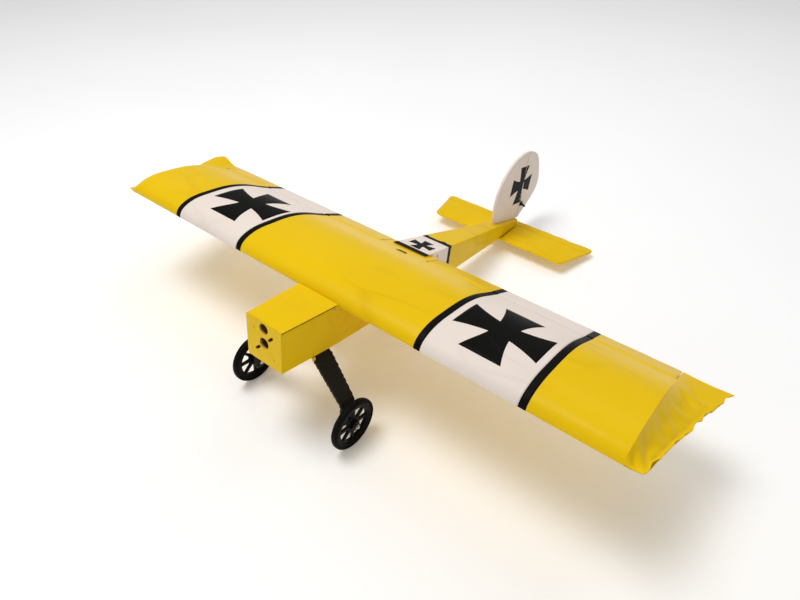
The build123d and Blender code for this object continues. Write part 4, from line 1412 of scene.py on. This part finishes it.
def build_wheels():
    for side, side_name in ((1, "port"), (-1, "starboard")):
        centre = BODY.local(JOINTS[f"{side_name}_wheel_spin"]["pos_m"])
        mesh = spun_ring(centre, [*((-out, radius) for out, radius in TYRE_HALF[::-1]), *TYRE_HALF], 96)
        tyre = add_piece(
            f"tyre_ring_{side_name}", mesh, "Tyre Rubber", f"{side_name}_wheel", 50
        )
        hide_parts(f"tyre_{side_name}")
        softened(f"wheel_{side_name}", "Wheel Plastic", radius=0.5, segments=2)
        for part, inner, outer, half in (("lip", 29.6, 34.4, 3.4), ("hub_flange", 7.9, 12.2, 3.0)):
            outline = [
                (-half, inner + 0.8),
                (-half + 0.8, inner),
                (half - 0.8, inner),
                (half, inner + 0.8),
                (half, outer - 0.8),
                (half - 0.8, outer),
                (-half + 0.8, outer),
                (-half, outer - 0.8),
            ]
            mesh = spun_ring(centre, outline, 72)
            add_piece(
                f"wheel_{part}_{side_name}", mesh, "Wheel Plastic", f"{side_name}_wheel"
            )


def finish_rest():
    finish_nodes("Yellow Film", "front_film", "fuselage_side_port", "fuselage_side_starboard")
    finish_nodes("Yellow Film", "fuselage_floor", "nose_deck", "aft_deck")
    finish_nodes("Yellow Wing Film", "wing_lower_sheet_port", "wing_lower_sheet_starboard")
    finish_nodes("Birch Ply", "firewall", "gear_plate", "tail_skid", "wing_spar", "tail_post")
    finish_nodes("Beech Dowel", "front_wing_dowel")
    finish_nodes("Bare Board", "former_wing", "former_rear", "former_tail")
    for side in ("port", "starboard"):
        finish_nodes("Bare Board", f"wing_ribs_{side}", f"hinge_spar_{side}")
        finish_nodes("Black Nylon", f"aileron_hinges_{side}", f"aileron_horn_{side}")
        finish_nodes("Bright Steel", f"aileron_hinge_pins_{side}", f"axle_{side}")
        finish_nodes("Bright Steel", f"axle_nuts_{side}")
    finish_nodes("Black Nylon", "elevator_hinges", "rudder_hinges", "elevator_horn", "rudder_horn")
    finish_nodes("Bright Steel", "elevator_hinge_pins", "rudder_hinge_pins", "gear_screws")


def build_stage():
    """Pale floor, soft studio light and the camera."""
    scene = bpy.context.scene
    settings = scene.aeroplane_stage
    mesh = bmesh.new()
    bmesh.ops.create_grid(mesh, x_segments=8, y_segments=8, size=15.0)
    data = as_data("floor", mesh)
    floor = linked("floor", data)
    material, tree, shader, place = new_material("Pale Floor")
    tone = ramp(tree, noise_value(tree, place, 2.0), 0.3, 0.7)
    mixed = node(
        tree, "ShaderNodeMix", {0: tone, 6: (0.97, 0.97, 0.97, 1), 7: (0.99, 0.99, 0.99, 1)},
        data_type="RGBA",
    )
    tree.links.new(mixed.outputs[2], shader.inputs["Base Color"])
    shader.inputs["Roughness"].default_value = 0.9
    shader.inputs["Specular IOR Level"].default_value = 0.1
    shader.inputs["Emission Color"].default_value = (1, 1, 1, 1)
    shader.inputs["Emission Strength"].default_value = 0.12
    data.materials.append(material)

    lights = (
        ("key", (-0.8, -0.7, 3.2), 1.5, 57.0),
        ("fill", (-0.4, -3.0, 1.3), 1.6, 3.0),
        ("back", (0.2, 1.7, 2.7), 2.0, 14.0),
    )
    for name, place, size, power in lights:
        lamp = bpy.data.lights.new(name, "AREA")
        lamp.shape = "SQUARE"
        lamp.size = size
        lamp.energy = power
        lamp_object = linked(name, lamp)
        lamp_object.location = place
        aim = Vector((0.05, 0, 0.1)) - Vector(place)
        lamp_object.rotation_euler = aim.to_track_quat("-Z", "Y").to_euler()
    world = bpy.data.worlds.new("studio")
    world.use_nodes = True
    background = world.node_tree.nodes["Background"]
    background.inputs["Color"].default_value = (1.0, 1.0, 1.0, 1)
    background.inputs["Strength"].default_value = 0.37
    scene.world = world
    scene.view_settings.view_transform = "Standard"

    azimuth, elevation, roll = settings.azimuth, settings.elevation, settings.roll
    back = Vector(
        (
            math.sin(azimuth) * math.cos(elevation),
            -math.cos(azimuth) * math.cos(elevation),
            math.sin(elevation),
        )
    )
    right = Vector((math.cos(azimuth), math.sin(azimuth), 0))
    above = back.cross(right)
    across = right * math.cos(roll) + above * math.sin(roll)
    upward = above * math.cos(roll) - right * math.sin(roll)
    turned = [BODY.turn(*axis) for axis in (across, upward, back)]
    target = BODY.at(97.75, 75.16, 0)
    lens = bpy.data.cameras.new("camera")
    lens.lens = settings.lens
    lens.sensor_width = 36.0
    lens.clip_start = 0.02
    camera = linked("camera", lens)
    spot = target + turned[2] * settings.distance
    turn = Matrix(turned).transposed()
    camera.matrix_world = Matrix.Translation(spot) @ turn.to_4x4()
    scene.camera = camera


# ---- operators -------------------------------------------------------------------------------


class AEROPLANE_OT_wing(bpy.types.Operator):
    """Cover both half wings, with pinched tips and the cable slot"""

    bl_idname = "aeroplane.wing"
    bl_label = "Wing Skins"

    def execute(self, context):
        build_wing_skin(1, "port")
        build_wing_skin(-1, "starboard")
        return {"FINISHED"}


class AEROPLANE_OT_wing_markings(bpy.types.Operator):
    """Lay the bands, stripes and crosses on the wing and ailerons"""

    bl_idname = "aeroplane.wing_markings"
    bl_label = "Wing Markings"

    def execute(self, context):
        build_wing_markings(1, "port")
        build_wing_markings(-1, "starboard")
        return {"FINISHED"}


class AEROPLANE_OT_ailerons(bpy.types.Operator):
    """Cover both ailerons"""

    bl_idname = "aeroplane.ailerons"
    bl_label = "Ailerons"

    def execute(self, context):
        build_ailerons()
        return {"FINISHED"}


class AEROPLANE_OT_fuselage(bpy.types.Operator):
    """Wrap the fuselage in film"""

    bl_idname = "aeroplane.fuselage"
    bl_label = "Fuselage Film"

    def execute(self, context):
        build_fuselage_covering()
        build_film_details()
        return {"FINISHED"}


class AEROPLANE_OT_fuselage_markings(bpy.types.Operator):
    """Lay the white band, its stripes and the cross behind the wing"""

    bl_idname = "aeroplane.fuselage_markings"
    bl_label = "Fuselage Markings"

    def execute(self, context):
        build_fuselage_markings()
        return {"FINISHED"}


class AEROPLANE_OT_tail(bpy.types.Operator):
    """Cover the tailplane, elevator, fin and rudder"""

    bl_idname = "aeroplane.tail"
    bl_label = "Tail Surfaces"

    def execute(self, context):
        build_tail()
        return {"FINISHED"}


class AEROPLANE_OT_fin_markings(bpy.types.Operator):
    """Lay the crosses on the fin and rudder"""

    bl_idname = "aeroplane.fin_markings"
    bl_label = "Fin Markings"

    def execute(self, context):
        build_fin_markings()
        return {"FINISHED"}


class AEROPLANE_OT_undercarriage(bpy.types.Operator):
    """Wrap the undercarriage strap in tape"""

    bl_idname = "aeroplane.undercarriage"
    bl_label = "Undercarriage"

    def execute(self, context):
        build_undercarriage()
        return {"FINISHED"}


class AEROPLANE_OT_wheels(bpy.types.Operator):
    """Turn the tyres and soften the wheels"""

    bl_idname = "aeroplane.wheels"
    bl_label = "Wheels"

    def execute(self, context):
        build_wheels()
        return {"FINISHED"}


class AEROPLANE_OT_finishes(bpy.types.Operator):
    """Give the boards, plywood, hinges and steel their finishes"""

    bl_idname = "aeroplane.finishes"
    bl_label = "Other Finishes"

    def execute(self, context):
        finish_rest()
        return {"FINISHED"}


class AEROPLANE_OT_stage(bpy.types.Operator):
    """Set the pale floor, the studio light and the camera"""

    bl_idname = "aeroplane.stage"
    bl_label = "Stage"

    def execute(self, context):
        build_stage()
        return {"FINISHED"}


STEPS = (
    AEROPLANE_OT_wing,
    AEROPLANE_OT_wing_markings,
    AEROPLANE_OT_ailerons,
    AEROPLANE_OT_fuselage,
    AEROPLANE_OT_fuselage_markings,
    AEROPLANE_OT_tail,
    AEROPLANE_OT_fin_markings,
    AEROPLANE_OT_undercarriage,
    AEROPLANE_OT_wheels,
    AEROPLANE_OT_finishes,
    AEROPLANE_OT_stage,
)
SETTINGS = (
    (AeroplaneFilm, "aeroplane_film"),
    (AeroplaneMarkings, "aeroplane_markings"),
    (AeroplaneStage, "aeroplane_stage"),
)


class AEROPLANE_PT_panel(bpy.types.Panel):
    """Settings and steps of the aeroplane's covering"""

    bl_label = "Aeroplane"
    bl_space_type = "VIEW_3D"
    bl_region_type = "UI"
    bl_category = "Aeroplane"

    def draw(self, context):
        for group, attribute in SETTINGS:
            box = self.layout.box()
            box.label(text=group.__doc__)
            settings = getattr(context.scene, attribute)
            for name in group.__annotations__:
                box.prop(settings, name)
        for step in STEPS:
            self.layout.operator(step.bl_idname)


def register():
    for group, attribute in SETTINGS:
        bpy.utils.register_class(group)
        setattr(bpy.types.Scene, attribute, PointerProperty(type=group))
    for step in STEPS:
        bpy.utils.register_class(step)
    bpy.utils.register_class(AEROPLANE_PT_panel)


def unregister():
    bpy.utils.unregister_class(AEROPLANE_PT_panel)
    for step in reversed(STEPS):
        bpy.utils.unregister_class(step)
    for group, attribute in reversed(SETTINGS):
        delattr(bpy.types.Scene, attribute)
        bpy.utils.unregister_class(group)


def main():
    register()
    for step in STEPS:
        name = step.bl_idname.split(".")[1]
        getattr(bpy.ops.aeroplane, name)()


if __name__ == "__main__":
    main()
